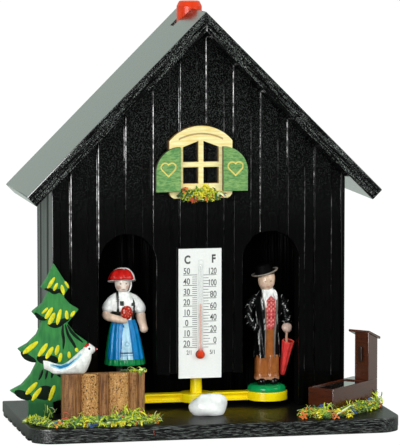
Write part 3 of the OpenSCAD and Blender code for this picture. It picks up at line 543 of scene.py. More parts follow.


# The last colour of each lacquer is painted glint: pale flecks, streaks and edge lines that stand in for the
# lacquer's sparkle.
wall_pine = lacquered_pine("black_lacquered_pine_upright", (0.8, 0.8, 9), (0.3, 0.3, 0.4), 0.03, "#3c403e",
                           glints_and_dust_high_up)
roof_pine = lacquered_pine("black_lacquered_pine_roof", (2.5, 40, 2.5), (0.3, 0.3, 0.3), 0.02, "#868b88",
                           glints_at_ends)
base_pine = lacquered_pine("black_lacquered_pine_level", (6, 0.6, 0.6), (2.6, 0.22, 0.22), 0.03, "#646966",
                           dulled_off_front, (0.25, 0.4))
rough_pine = sawn_pine()
eased("base_plate", 0.5, base_pine, cut=not_ahead, clamp=False)
eased("front_wall", 0.3, wall_pine, cut=off_front, clamp=False)
for side_node in ("left_side_wall", "right_side_wall", "back_wall"):
    eased(side_node, 0.4, rough_pine, cut=outward_faces)
for roof_node in ("left_roof_board", "right_roof_board"):
    eased(roof_node, 0.4, roof_pine, cut=end_grain, clamp=False)
keep("chimney", gloss_moulding("orange_red_styrene", ("#f04416", "#da330e"), 0.3, 0.25))


def sides_cut(centre, normal):
    """Sides of a laser-cut board, and the lines engraved in it: faces that don't look to the front."""
    return np.maximum(np.clip(1.2 + 1.4 * normal[:, 1], 0, 1), 0.7 * engraved(centre, normal))


def engraved(centre, normal):
    """Floor of an engraved line: faces that look to the front from behind the board's face."""
    behind = centre[:, 1] - centre[:, 1].min()
    return ((behind > 0.12) & (behind < 0.4) & (np.abs(normal[:, 0]) < 0.95)).astype(float)


def scorched(centre, normal):
    """Engraved floors in full, and the sides of the board by half."""
    return np.maximum(engraved(centre, normal), 0.5 * (normal[:, 1] > -0.9))


eased("window_frame", 0.12, laser_cut_birch(), cut=sides_cut)
green_stain = stained_shutter()
for shutter_node in ("left_shutter", "right_shutter"):
    eased(shutter_node, 0.12, green_stain, cut=scorched)

# The thermometer: a scale printed on its card, Celsius at the left and Fahrenheit at the right

eased("thermometer_card", 0.1, satin_card)
keep("thermometer_tube", tube_glass())
keep("thermometer_fluid", dyed_spirit())
card_face = box_mm("thermometer_card")[0][1]
INK = 0.02  # how thick the print is, in mm


def inked_boxes(x0, x1, z, thick):
    """Flat bars on the card from x0 to x1 at heights z: the eight corners of each, and its six faces."""
    x0, x1, z, thick = np.broadcast_arrays(x0, x1, z, thick)
    corner = np.array([(i, j, k) for i in (0, 1) for j in (0, 1) for k in (0, 1)])
    points = np.stack([np.where(corner[None, :, 0], x1[:, None], x0[:, None]),
                       card_face - INK * corner[None, :, 1] + 0 * z[:, None],
                       z[:, None] + thick[:, None] * (corner[None, :, 2] - 0.5)], -1)
    box = np.array([[0, 1, 3, 2], [4, 6, 7, 5], [0, 4, 5, 1], [2, 3, 7, 6], [0, 2, 6, 4], [1, 5, 7, 3]])
    faces = (box[None] + 8 * np.arange(len(z))[:, None, None]).reshape(-1, 4)
    return points.reshape(-1, 3), faces.tolist()


# Of the letter shapes, per unit of their size: how tall a capital is, how much bolder numbers and letters are
# drawn, and how much narrower numbers of three digits and other words are
CAPITAL, BOLD, BOLDER, NARROWER, NARROW = 0.69, 0.012, 0.04, 0.68, 0.78


def lettering(words, x, z, height, align="CENTER"):
    """A short number or letter on the card, placed by x and its foot at z, as a thin closed mesh."""
    curve = bpy.data.curves.new("scale_mark", "FONT")
    curve.body, curve.size, curve.extrude = words, 1.0, INK / 2
    curve.offset = BOLD if words[0].isdigit() else BOLDER
    curve.align_x = align
    holder = bpy.data.objects.new("scale_mark", curve)
    bpy.context.scene.collection.objects.link(holder)
    bpy.context.view_layer.update()
    mesh = bpy.data.meshes.new_from_object(holder.evaluated_get(bpy.context.evaluated_depsgraph_get()))
    flat = np.zeros(len(mesh.vertices) * 3)
    mesh.vertices.foreach_get("co", flat)
    flat = flat.reshape(-1, 3)
    faces = [list(p.vertices) for p in mesh.polygons]
    bpy.data.objects.remove(holder)
    bpy.data.meshes.remove(mesh)
    bpy.data.curves.remove(curve)
    size = height / CAPITAL
    narrow = NARROWER if len(words) == 3 and words.isdigit() else NARROW
    points = np.stack([x + flat[:, 0] * size * narrow, card_face - INK / 2 - flat[:, 2], z + flat[:, 1] * size], -1)
    return points, faces


# In mm: heights of the top lines and steps between numbers, a number's gap above its line and its height
C_TOP, C_STEP, F_TOP, F_STEP = 54.4, 3.774, 54.3, 4.21
ABOVE_LINE, NUMBER_HEIGHT = 0.35, 2.2
c_line, f_line = np.arange(36), np.arange(26)
c_long, f_long, f_half = c_line % 5 == 0, f_line % 4 == 0, f_line % 2 == 0
marks = [inked_boxes(np.where(c_long, -6.3, -2.9), -1.1, C_TOP - C_STEP / 5 * c_line, np.where(c_long, 0.22, 0.2)),
         inked_boxes(1.2, np.where(f_long, 6.0, np.where(f_half, 3.7, 3.1)), F_TOP - F_STEP / 4 * f_line,
                     np.where(f_long, 0.22, 0.18))]
for numbers, x, top, step, align in (("50 40 30 20 10 0 10 20", -4.95, C_TOP, C_STEP, "CENTER"),
                                     ("120 100 80 60 40 20 0", 6.1, F_TOP, F_STEP, "RIGHT")):
    for place, words in enumerate(numbers.split()):
        marks.append(lettering(words, x, top - step * place + ABOVE_LINE, NUMBER_HEIGHT, align))
marks += [lettering("C", -4.7, 58.6, 2.8), lettering("F", 4.95, 58.8, 2.8),
          lettering("2/1", -4.0, 25.4, 1.5), lettering("5/1", 4.6, 25.4, 1.5)]
piece("scale_print", marks, printing_ink, "house", smooth=False)

# The fir tree: a painted cut-out with dark strokes and yellow dabs of thick paint

eased("fir_tree", 0.4, painted_tree())
tree_left, tree_face, tree_foot = box_mm("fir_tree")[0]
tree_x = tree_left + 13.9
# Each dab's two ends, x and z from the tree's foot, and its width; then each stroke's path and its half width
YELLOW_DABS = ((2.1, 50.5, -0.2, 46.9, 1.3), (3.1, 48.4, 1.9, 46.0, 1.2), (6.0, 49.0, 7.2, 46.9, 1.0),
               (4.8, 47.6, 5.4, 44.6, 1.4), (-0.4, 39.7, -2.3, 37.9, 1.0), (1.2, 39.6, -1.1, 36.0, 1.6),
               (2.0, 37.6, 0.1, 33.9, 1.7), (4.3, 38.9, 3.0, 33.6, 1.5), (6.4, 38.3, 6.7, 35.6, 1.4),
               (9.3, 38.2, 8.2, 36.6, 1.3), (-4.2, 27.6, -9.4, 23.5, 1.8), (-0.7, 26.7, -3.6, 22.7, 1.7),
               (1.3, 25.4, -1.0, 21.6, 1.7), (3.4, 26.0, 2.6, 23.1, 1.5), (4.4, 23.2, 3.8, 20.4, 1.4),
               (7.3, 23.6, 7.4, 21.7, 1.3), (9.8, 24.9, 10.3, 23.9, 1.2), (-4.5, 12.8, -8.3, 9.0, 1.8),
               (-2.9, 10.9, -6.0, 7.0, 1.8), (1.9, 11.5, 0.2, 6.8, 1.8))
DARK_STROKES = (((-1.4, 46.6), (0.4, 46.3), (2.1, 45.4), (3.9, 45.8), (5.2, 44.6)),
                ((-5.0, 38.2), (-3.2, 36.4), (-0.7, 35.6)),
                ((-0.3, 33.9), (2.0, 33.4), (3.9, 34.0), (5.5, 35.0), (7.2, 35.4)),
                ((5.2, 33.8), (5.0, 30.9), (5.4, 28.0), (5.2, 24.7)),
                ((6.0, 33.7), (7.0, 30.0), (9.2, 26.2), (9.9, 24.3)), ((6.7, 33.6), (8.7, 30.4), (12.4, 27.0)),
                ((-10.0, 24.2), (-7.8, 22.3), (-4.6, 20.6)), ((-4.3, 22.1), (-2.0, 21.2), (1.5, 21.1), (3.2, 20.2)),
                ((-2.2, 17.7), (-2.9, 15.8), (-3.7, 14.0)), ((-0.6, 17.4), (-0.9, 15.8), (-1.3, 14.1)),
                ((1.2, 17.6), (1.2, 15.9), (0.9, 14.5)), ((2.4, 17.1), (3.4, 15.8), (4.2, 14.8)),
                ((-12.4, 10.0), (-10.4, 9.2), (-8.5, 8.3), (-6.0, 7.4)),
                ((-5.0, 8.2), (-3.0, 9.0), (-1.2, 9.2), (0.4, 8.7), (1.4, 7.8)))
STROKE_HALF = (0.8, 0.8, 1.1, 0.55, 0.55, 0.55, 1.1, 1.6, 0.55, 0.5, 0.5, 0.55, 1.5, 2.7)
DAB_HIGH, STROKE_HIGH = 0.22, 0.1


def dab(x0, z0, x1, z1, width):
    """A dab of paint: a low oval dome on the tree's face from one end to the other."""
    u = np.linspace(1, 0.02, 7)[:, None]
    a = around(26)[None]
    middle, half = np.array([x0 + x1, z0 + z1]) / 2, np.array([x1 - x0, z1 - z0]) / 2
    length = np.linalg.norm(half)
    along, across = half / length, np.array([-half[1], half[0]]) / length
    reach, side = (length + width * 0.25) * u * np.cos(a), width / 2 * u * np.sin(a)
    x = tree_x + middle[0] + along[0] * reach + across[0] * side
    z = tree_foot + middle[1] + along[1] * reach + across[1] * side
    y = tree_face - DAB_HIGH * np.sqrt(np.clip(1 - u ** 2, 0, 1)) + 0 * a
    return np.stack([x, y, z], -1)


def brush_stroke(path, half):
    """A stroke of paint on the tree's face: a low arched profile carried along a path, thin at both ends."""
    c = smooth_rows(path, 22)
    t = headings(c)
    w = half * np.sqrt(np.clip(np.sin(np.linspace(0.06, math.pi - 0.06, len(c))), 0, 1))
    f = np.linspace(-1, 1, 7)
    x = tree_x + c[:, 0, None] - t[:, 1, None] * w[:, None] * f
    z = tree_foot + c[:, 1, None] + t[:, 0, None] * w[:, None] * f
    y = tree_face - STROKE_HIGH * (1 - f ** 2) + 0 * x
    top = np.stack([x, y, z], -1)
    back = top[:, ::-1].copy()
    back[..., 1] = tree_face + 0.02
    return np.concatenate([top, back], 1)


tree_enamel = enamel("thick_tree_paint", 0.4, 0.12)
dabs = [coloured(dab(*ends), "#eee62a") for ends in YELLOW_DABS]
strokes = [coloured(brush_stroke(*stroke), "#0b1e13") for stroke in zip(DARK_STROKES, STROKE_HALF)]
piece("tree_dabs", dabs, tree_enamel, "house")
piece("tree_strokes", strokes, tree_enamel, "house")

# The palisade: half-round poles, split twigs and cork, on a backing strip

log_low, log_high = box_mm("log_palisade")
# From left to right, each pole's width in mm and how far it is cork; then the counts of points and rows
POLE_WIDTHS = np.array([6.8, 6.4, 3.5, 7.4, 3.2, 2.5])
POLE_IS_CORK = np.array([0, 1, 0, 1, 0.25, 0.1])
POLE_DEPTH, POLE_SEAM = 2.6, 0.4
POLE_STEPS, STRIP_STEPS, POLE_ROWS = 30, 24, 46


def palisade():
    """The outline of the poles in plan, carried up in rows: arcs in front, the strip behind, with a rough skin."""
    starts = np.concatenate([[0], np.cumsum(POLE_WIDTHS)[:-1]])
    f = np.linspace(0.002, 0.998, POLE_STEPS)
    half = POLE_WIDTHS[:, None] / 2
    depth = np.minimum(POLE_DEPTH, half)
    radius = (half ** 2 + depth ** 2) / (2 * depth)
    off = (f[None] - 0.5) * POLE_WIDTHS[:, None]
    y = POLE_DEPTH - depth + radius - np.sqrt(np.clip(radius ** 2 - off ** 2, 0, None))
    x = (starts[:, None] + half + off).ravel()
    y = np.minimum(y, POLE_DEPTH - POLE_SEAM / 2).ravel()
    front = np.concatenate([np.ones(len(x)), np.zeros(STRIP_STEPS)])
    wide, deep, high = log_high - log_low
    x = np.concatenate([x, np.linspace(wide, 0, STRIP_STEPS)])
    y = np.concatenate([y, np.full(STRIP_STEPS, deep)])
    cork = np.concatenate([np.repeat(POLE_IS_CORK, POLE_STEPS), np.zeros(STRIP_STEPS)])
    z = np.linspace(0, high, POLE_ROWS)[:, None]
    rough = 0.07 * np.sin(x * 5.3 + 0.8 * np.sin(z * 0.9)) + 0.05 * np.sin(z * 2.1 + x * 2.7) * np.sin(z * 0.7 + x)
    edge = 0.25 * np.clip(1 - (z[-1] - z) / 0.5, 0, 1) ** 2
    grid = np.stack([x + 0 * z, y + front * (np.abs(rough) + edge), z + 0 * x], -1)
    return grid + log_low, np.tile(cork, POLE_ROWS)


poles, pole_cork = palisade()
piece("palisade_poles", [skin(poles)], cork_bark(), "house", ("log_palisade",),
      extra=("cork", pole_cork))

# Flock: flakes of dyed sawdust and moss fibre strewn over a low dark mound

FLOCK_CODES = ("#93b01c", "#c6d628", "#4f8220", "#1f5a28", "#ecdf22", "#cb3a1c", "#e0701c", "#2456a4", "#e4edaa")
FLAKE_ROWS, FLAKE_THICK = 4, 0.09  # thickness in mm


def flakes(spots, shares, length, width, rise=0.0):
    """Curled flakes at the given spots (x, y, z): strips of four steps, bent and turned at random.
    shares says how often each colour of the flock comes, and rise how steeply the flakes stand."""
    n = len(spots)
    s = np.linspace(-0.5, 0.5, FLAKE_ROWS)[None, :, None]
    w = np.array([-0.5, 0.5])[None, None]
    long = (length * rng.uniform(0.6, 1.3, n))[:, None, None]
    wide = (width * rng.uniform(0.6, 1.2, n))[:, None, None]
    curl = rng.uniform(0.3, 1.1, n)[:, None, None]
    local = np.stack(np.broadcast_arrays(long * s, wide * w * (1.15 - np.abs(s)), long * curl * (0.25 - s ** 2)), -1)
    turn, tilt, roll = rng.uniform(0, TURN, n), rng.normal(rise, 0.5, n), rng.normal(0, 0.7, n)
    spin = np.eye(3)
    for angle, i, j in ((turn, 0, 1), (tilt, 2, 0), (roll, 1, 2)):
        about = np.tile(np.eye(3), (n, 1, 1))
        about[:, i, i] = about[:, j, j] = np.cos(angle)
        about[:, j, i], about[:, i, j] = np.sin(angle), -np.sin(angle)
        spin = spin @ about
    upper = np.einsum("nil,nabl->nabi", spin, local) + spots[:, None, None]
    lower = upper - (spin[:, :, 2] * FLAKE_THICK)[:, None, None]
    loop = np.concatenate([upper, lower[:, :, ::-1]], 2)
    size = loop[0].size // 3
    faces = (np.array(loops(*loop.shape[1:3]))[None] + size * np.arange(n)[:, None, None]).reshape(-1, 4)
    codes = np.array([linear(code) for code in FLOCK_CODES])
    pick = codes[rng.choice(len(codes), n, p=np.array(shares) / np.sum(shares))]
    return loop.reshape(-1, 3), faces.tolist(), np.repeat(pick, size, 0)


def laid(centre, along, u, v, z):
    """Points u along a line at the angle along, v across it and z above a centre."""
    x, y = turned(u, v, along)
    return np.stack([centre[0] + x, centre[1] + y, centre[2] + z], -1)


def strewn(centre, along, half_long, half_deep, height, count):
    """Spots over an oval mound: even over its plan, at the dome's height there."""
    r, a = np.sqrt(rng.uniform(0, 1, count)), rng.uniform(0, TURN, count)
    z = height * np.sqrt(np.clip(1 - r ** 2, 0, 1)) * rng.uniform(0.55, 1.1, count)
    return laid(centre, along, half_long * r * np.cos(a), half_deep * r * np.sin(a), z)


def mound(centre, along, half_long, half_deep, height):
    """A low dark oval dome under the flakes."""
    u = np.linspace(1, 0.03, 8)[:, None]
    a = around(40)[None]
    z = height * np.sqrt(1 - u ** 2) * (1 + 0.2 * np.sin(5 * a)) + 0 * a
    grid = laid(centre, along, half_long * u * np.cos(a), half_deep * u * np.sin(a), z)
    return coloured(grid, "#24401a")


def one_colour(place):
    """Shares that give only the colour at one place of the flock."""
    return np.eye(len(FLOCK_CODES))[place]


def tufts(middles, spread, count):
    """Spots strewn round each of some middles, never below them by more than a little."""
    spots = np.repeat(np.array(middles), count, 0)
    off = rng.normal(0, 1, spots.shape) * spread
    off[:, 2] = np.maximum(off[:, 2], -0.4)
    return spots + off


def clumps(kinds, spread=0.6, count=9, origin=(0, 0, 0)):
    """Clumps of one colour each: kinds gives, for a colour's place in the flock, the middles of its clumps."""
    return [flakes(tufts(np.array(middles) + origin, spread, count), one_colour(colour), 2.2, 0.8)
            for colour, middles in kinds.items()]


flock = dyed_flock()
# How often each colour of the flock comes in the grass, in its fresh tufts and in the window's flowers
GRASS_SHARES = (24, 26, 17, 14, 9, 3, 2, 2, 3)
FRESH_SHARES = (30, 34, 20, 4, 6, 0, 0, 0, 6)
BLOOM_SHARES = (22, 24, 13, 7, 25, 2, 2, 1, 4)
FERN, YELLOW, RED, ORANGE, BLUE, PALE = 3, 4, 5, 6, 7, 8
LEFT_CLUMPS = {RED: ((-53.8, -24.6, 7.6), (-40.6, -24.8, 7.0), (-24.7, -25.2, 6.4)),
               ORANGE: ((-57.3, -29.6, 6.2), (-43.5, -25.0, 7.0)),
               BLUE: ((-32.4, -25.2, 6.8), (-45.5, -31.8, 6.0), (-36.6, -25.0, 7.0), (-20.6, -24.4, 6.4)),
               YELLOW: ((-37.4, -31.4, 6.2), (-34.8, -32.0, 6.0), (-47.4, -31.4, 6.2), (-27.5, -25.0, 6.8),
                        (-44.7, -25.0, 7.4), (-63.0, -13.5, 6.0))}
RIGHT_CLUMPS = {ORANGE: ((31.6, -28.5, 6.0), (34.6, -23.8, 7.4), (42.8, -31.8, 6.2), (40.5, -28.0, 6.8)),
                YELLOW: ((38.8, -26.4, 7.0), (44.2, -28.4, 7.4), (48.5, -29.4, 6.2), (37.0, -29.5, 6.2)),
                BLUE: ((39.3, -25.0, 9.0), (50.6, -24.0, 6.8), (60.5, -10.6, 7.6)), RED: ((64.9, -7.6, 6.4),)}
GROUND = box_mm("base_plate")[1][2]
# Which way the grass runs: at the base's left corner, beside the trough, and the edge that it keeps within
LEFT_CORNER, QUARTER, RIGHT_EDGE = math.radians(-70), math.pi / 4, 66.2
piece("grass_by_palisade",
      [mound((-41.4, -28.0, GROUND), 0, 19.5, 3.4, 1.5),
       mound((-62.2, -21.0, GROUND), LEFT_CORNER, 8.8, 2.3, 0.9),
       flakes(strewn((-41.4, -28.2, GROUND), 0, 19.5, 3.8, 2.8, 600), GRASS_SHARES, 2.7, 0.66),
       flakes(strewn((-62.3, -21.0, GROUND), LEFT_CORNER, 9.5, 3.0, 2.1, 150), GRASS_SHARES, 2.8, 0.62),
       flakes(strewn((-23.4, -26.0, GROUND), 0, 4.0, 2.0, 2.4, 90), GRASS_SHARES, 2.5, 0.5),
       flakes(tufts(((-32.2, -25.0, 8.2), (-29.4, -24.9, 7.6)), (1.8, 0.5, 1.3), 34), FRESH_SHARES, 3.2, 0.5, 1.1),
       flakes(tufts(((-47.4, -24.8, 7.4), (-57.8, -12.0, 7.4), (-20.2, -25.4, 7.0)), (1.0, 0.5, 0.8), 9),
              FRESH_SHARES, 3.6, 0.45, 1.3),
       flakes(tufts(((-28.6, -21.0, log_high[2] + 0.5), (-26.0, -21.0, log_high[2] + 0.4)), (0.9, 0.6, 0.35), 15),
              FRESH_SHARES, 2.6, 0.7),
       flakes(tufts(((-31.8, -21.0, log_high[2] + 0.5),), (0.7, 0.5, 0.3), 8), one_colour(FERN), 2.4, 0.7),
       flakes(np.array([(-23.6, -33.85, 3.0)]), one_colour(RED), 1.6, 0.8, 1.5)] + clumps(LEFT_CLUMPS),
      flock, "house", ("left_grass",))
right_spots = np.concatenate([strewn((54.6, -17.4, GROUND), QUARTER, 15, 2.6, 3.0, 400),
                              strewn((37.0, -24.9, GROUND), -QUARTER, 6.6, 2.8, 2.9, 220)])
right_spots[:, 0] = np.minimum(right_spots[:, 0], RIGHT_EDGE)
piece("grass_by_trough",
      [mound((54.4, -17.6, GROUND), QUARTER, 13.5, 2.2, 1.3),
       mound((37.4, -24.6, GROUND), -QUARTER, 5.8, 2.4, 1.3),
       flakes(right_spots, GRASS_SHARES, 2.8, 0.62),
       flakes(tufts(((41.2, -26.8, 7.6), (65.2, -5.4, 7.6), (62.4, -8.6, 7.0)), (0.9, 0.8, 1.3), 24),
              FRESH_SHARES, 3.0, 0.5, 1.0),
       flakes(tufts(((35.2, -22.6, 7.4), (51.4, -20.6, 8.2), (54.0, -17.8, 8.4)), (0.5, 0.5, 0.6), 4),
              FRESH_SHARES, 4.2, 0.45, 1.4),
       coloured(tube(((42.0, -31.2, 6.3), (46.4, -27.8, 7.6), (50.0, -24.6, 8.8)), (0.2, 0.34, 0.2), 16, 10, 0.5),
                "#e9efc0")] + clumps(RIGHT_CLUMPS),
      flock, "house", ("right_grass",))
bloom_low, bloom_high = box_mm("window_flowers")
bloom_front, bloom_z = bloom_high[1] - 0.9, (bloom_low[2] + bloom_high[2]) / 2
BLOOM_CLUMPS = {RED: ((-3.9, -0.5, -2.0), (-3.0, -0.5, -1.4)), ORANGE: ((-6.2, 0, 1.3), (1.8, -0.5, -1.2)),
                YELLOW: ((2.0, 0, 2.0), (0.9, -0.4, 1.0), (-0.7, -0.6, -0.4), (2.6, -0.6, -0.1)),
                FERN: ((5.4, -0.3, -1.2), (-4.8, 0, -0.2), (-8.0, 0, -0.3), (-7.2, 0, 0.6)), PALE: ((6.6, -0.3, 0),)}
BLOOM_FLAKES = 210
bloom_r, bloom_a = np.sqrt(rng.uniform(0, 1, BLOOM_FLAKES)), rng.uniform(0, TURN, BLOOM_FLAKES)
bloom_spots = np.stack([8.4 * bloom_r * np.cos(bloom_a),
                        bloom_front + 0.6 - 1.2 * np.sqrt(1 - bloom_r ** 2) * rng.uniform(0.4, 1, BLOOM_FLAKES),
                        bloom_z - 0.5 + 2.2 * bloom_r * np.sin(bloom_a) + 0.4], -1)
piece("window_bloom",
      [coloured(ball((0, bloom_high[1] - 0.3, bloom_z - 0.3), (7.6, 0.7, 2.2)), "#2c5a2a"),
       flakes(bloom_spots, BLOOM_SHARES, 2.4, 0.7)]
      + clumps(BLOOM_CLUMPS, 0.5, 8, (0, bloom_front, bloom_z)),
      flock, "house", ("window_flowers",))

# The bird, the stone and the fountain

# Slanting sections of the bird from its tail to its beak: top x, z, lower x, z and half width
BIRD_SECTIONS = ((-6.7, 5.1, -6.4, 2.1, 0.5), (-4.8, 4.8, -4.6, 1.3, 0.8), (-0.7, 3.5, -2.8, 0.2, 1.4),
                 (2.2, 4.5, 0.5, 0, 2.2), (5.0, 6.8, 4.2, 0, 2.9), (6.6, 8.3, 8.0, 0.2, 3.0),
                 (7.6, 9.0, 10.1, 4.1, 2.6), (8.3, 10.2, 10.6, 6.6, 2.1), (9.6, 10.8, 11.2, 7.2, 1.9),
                 (10.9, 10.1, 11.6, 7.6, 1.3), (12.0, 9.2, 12.2, 8.1, 0.6), (12.85, 8.65, 12.8, 8.5, 0.1))
bird_foot = np.array([log_low[0], log_low[1] + POLE_DEPTH, log_high[2]])


def slanting(sections, count, sides):
    """Ellipses that each stand between a top and a lower point, smoothed from section to section."""
    top_x, top_z, low_x, low_z, half = smooth_rows(sections, count).T[:, :, None]
    a = around(sides)[None]
    x = (top_x + low_x + (top_x - low_x) * np.cos(a)) / 2
    z = (top_z + low_z + (top_z - low_z) * np.cos(a)) / 2
    return np.stack([x, half * np.sin(a), np.maximum(z, 0)], -1)


def bird_paint(x, y, z):
    """White, with a blue stripe down the back that pales at its edge, a red crest and a red beak."""
    tops = np.array(BIRD_SECTIONS)[:7]
    below = np.interp(x, tops[:, 0], tops[:, 1]) - z
    back = (x > -4.2) & (x < 6.6)
    half = np.interp(x, [-3.6, -1.0, 1.5, 5.0], [0, 0.5, 0.45, 0])
    stripe = back & (np.abs(below - 0.85) < half)
    beak = (x > 11.7) & (x < 12.5)
    crest = (x > 7.7) & (x < 9.6) & (z > 9.5) & (np.abs(y) < 1.5)
    fading = back & (np.abs(below - 1.05) < half + 0.45)
    return ["#fbfbf8", (fading, "#a4d2e4"), (stripe, "#1579ad"), (beak | crest, "#c5281c")]


bird_parts = [coloured(slanting(BIRD_SECTIONS, 110, 64), bird_paint)]
for side in (-1, 1):
    bird_parts.append(coloured(ball((9.5, side * 1.86, 9.0), (0.48, 0.24, 0.48), 10, 14), "#101010"))
piece("painted_bird", bird_parts, enamel("bird_enamel", 0.25), "house", ("bird",), bird_foot)

stone_low, stone_high = box_mm("white_stone")
stone_half = (stone_high - stone_low) / 2


def pebble():
    """An ellipsoid cut flat at the bottom, its radius waved twice and three times round for a tumbled form."""
    p = np.linspace(-0.5, 0.497, 40)[:, None] * math.pi
    a = around(64)[None]
    k = 1 + 0.07 * np.sin(2 * a + 0.6) * np.cos(p) + 0.06 * np.sin(3 * a + 2.5 * p) - 0.05 * np.cos(4 * p + a)
    x, y = stone_half[0] * k * np.cos(p) * np.cos(a), stone_half[1] * k * np.cos(p) * np.sin(a)
    z = stone_half[2] * (0.8 + 1.25 * k * np.sin(p)) + 0 * a
    return np.stack([x, y, np.clip(z, 0, 2 * stone_half[2])], -1)


stone_foot = np.array([stone_low[0] + stone_half[0], stone_low[1] + stone_half[1], stone_low[2]])
piece("tumbled_stone", [skin(pebble())], white_pebble, "house", ("white_stone",), stone_foot)

for brown_node, ease in (("trough", 0.2), ("fountain_post", 0.15), ("post_cap", 0.2)):
    eased(brown_node, ease, brown_paint)
# The spout is near black as painted shade: it stands for a dark slot in the brown post.
eased("spout", 0.25, gloss_moulding("dark_spout_enamel", ("#1c0e09", "#2c170e"), 0.35, 0.25))
keep("trough_water", still_water)

# The hanging: block, peg and strand of gut, and the turnstile

eased("gut_hanger", 0.4, bare_beech)
eased("adjusting_peg", 0.25, bare_beech, "adjuster")
gut_low, gut_high = box_mm("gut_strand")
gut_x, gut_y = ((gut_low + gut_high) / 2)[:2]
knot_z, ply_turn = gut_low[2] + 1.2, 5  # the knot's middle, and how far up the plies turn once, in mm


def strand():
    """Two plies twisted together: a two-lobed profile that turns as it is carried up."""
    z = np.linspace(knot_z, gut_high[2], 420)[:, None]
    a = around(16)[None]
    r = 0.36 + 0.09 * np.cos(2 * a)
    twist = z * TURN / ply_turn
    return np.stack([gut_x + r * np.cos(a + twist), gut_y + r * np.sin(a + twist), z + 0 * a], -1)


knot = ball((gut_x, gut_y, knot_z), (1.15, 1.15, 1.2), 20, 28, 0.12, 3)
piece("gut_twist", [skin(strand()), skin(knot)], twisted_gut, "adjuster", ("gut_strand",))
eased("turnstile", 0.22, gloss_moulding("yellow_styrene", ("#ffe80e", "#ffda06"), 0.18, 0.5), "turnstile_set")

# The figures

# Places of points on a figure are in mm from the middle of its disc, each ring as in rings()
SKIN, SKIN_ARM, SKIN_TAN, SKIN_HAND = "#ffeee2", "#ecccb6", "#efcdb2", "#d9b9ac"
WHITE, BLACK, TROUSERS = "#fdfdfc", "#0b0b0c", "#a4602f"
ARM_REACH, AXIS_Y, foot_z = 26.4, 7.3, box_mm("woman_figure")[0][2]
woman_foot, man_foot = np.array([-ARM_REACH, AXIS_Y, foot_z]), np.array([ARM_REACH, AXIS_Y, foot_z])
BASE_RINGS = ((0, 0, 0, 6.85, 6.85), (0.5, 0, 0, 7, 7), (1.4, 0, 0, 6.9, 6.9), (2.0, 0, 0, 6.3, 6.3),
              (2.35, 0, 0, 5.2, 5.2), (2.4, 0, 0, 2, 2))


def face_paint(skin_code, hair_code, x0, eyes_z, hair_z):
    """Skin, hair at the back and above, small dark eyes and a faint mouth, for a head with its middle at x0."""
    def layers(x, y, z):
        """Ovals for eyes, mouth and cheeks on the front of the head, and hair behind and above."""
        hair = (y > 0.9) | (z > hair_z)
        ahead = y < -1.5
        eyes = ahead & ((np.abs(x - x0) - 1.05) ** 2 / 0.1 + (z - eyes_z) ** 2 / 0.06 < 1)
        mouth = ahead & ((x - x0) ** 2 / 0.5 + (z - eyes_z + 2.1) ** 2 / 0.035 < 1)
        cheeks = ahead & ((np.abs(x - x0) - 1.6) ** 2 + (z - eyes_z + 1.3) ** 2 < 0.5)
        return [skin_code, (cheeks, "#f0c8b6"), (mouth, "#d99a8c"), (eyes, "#8a6454"), (hair, hair_code)]
    return layers


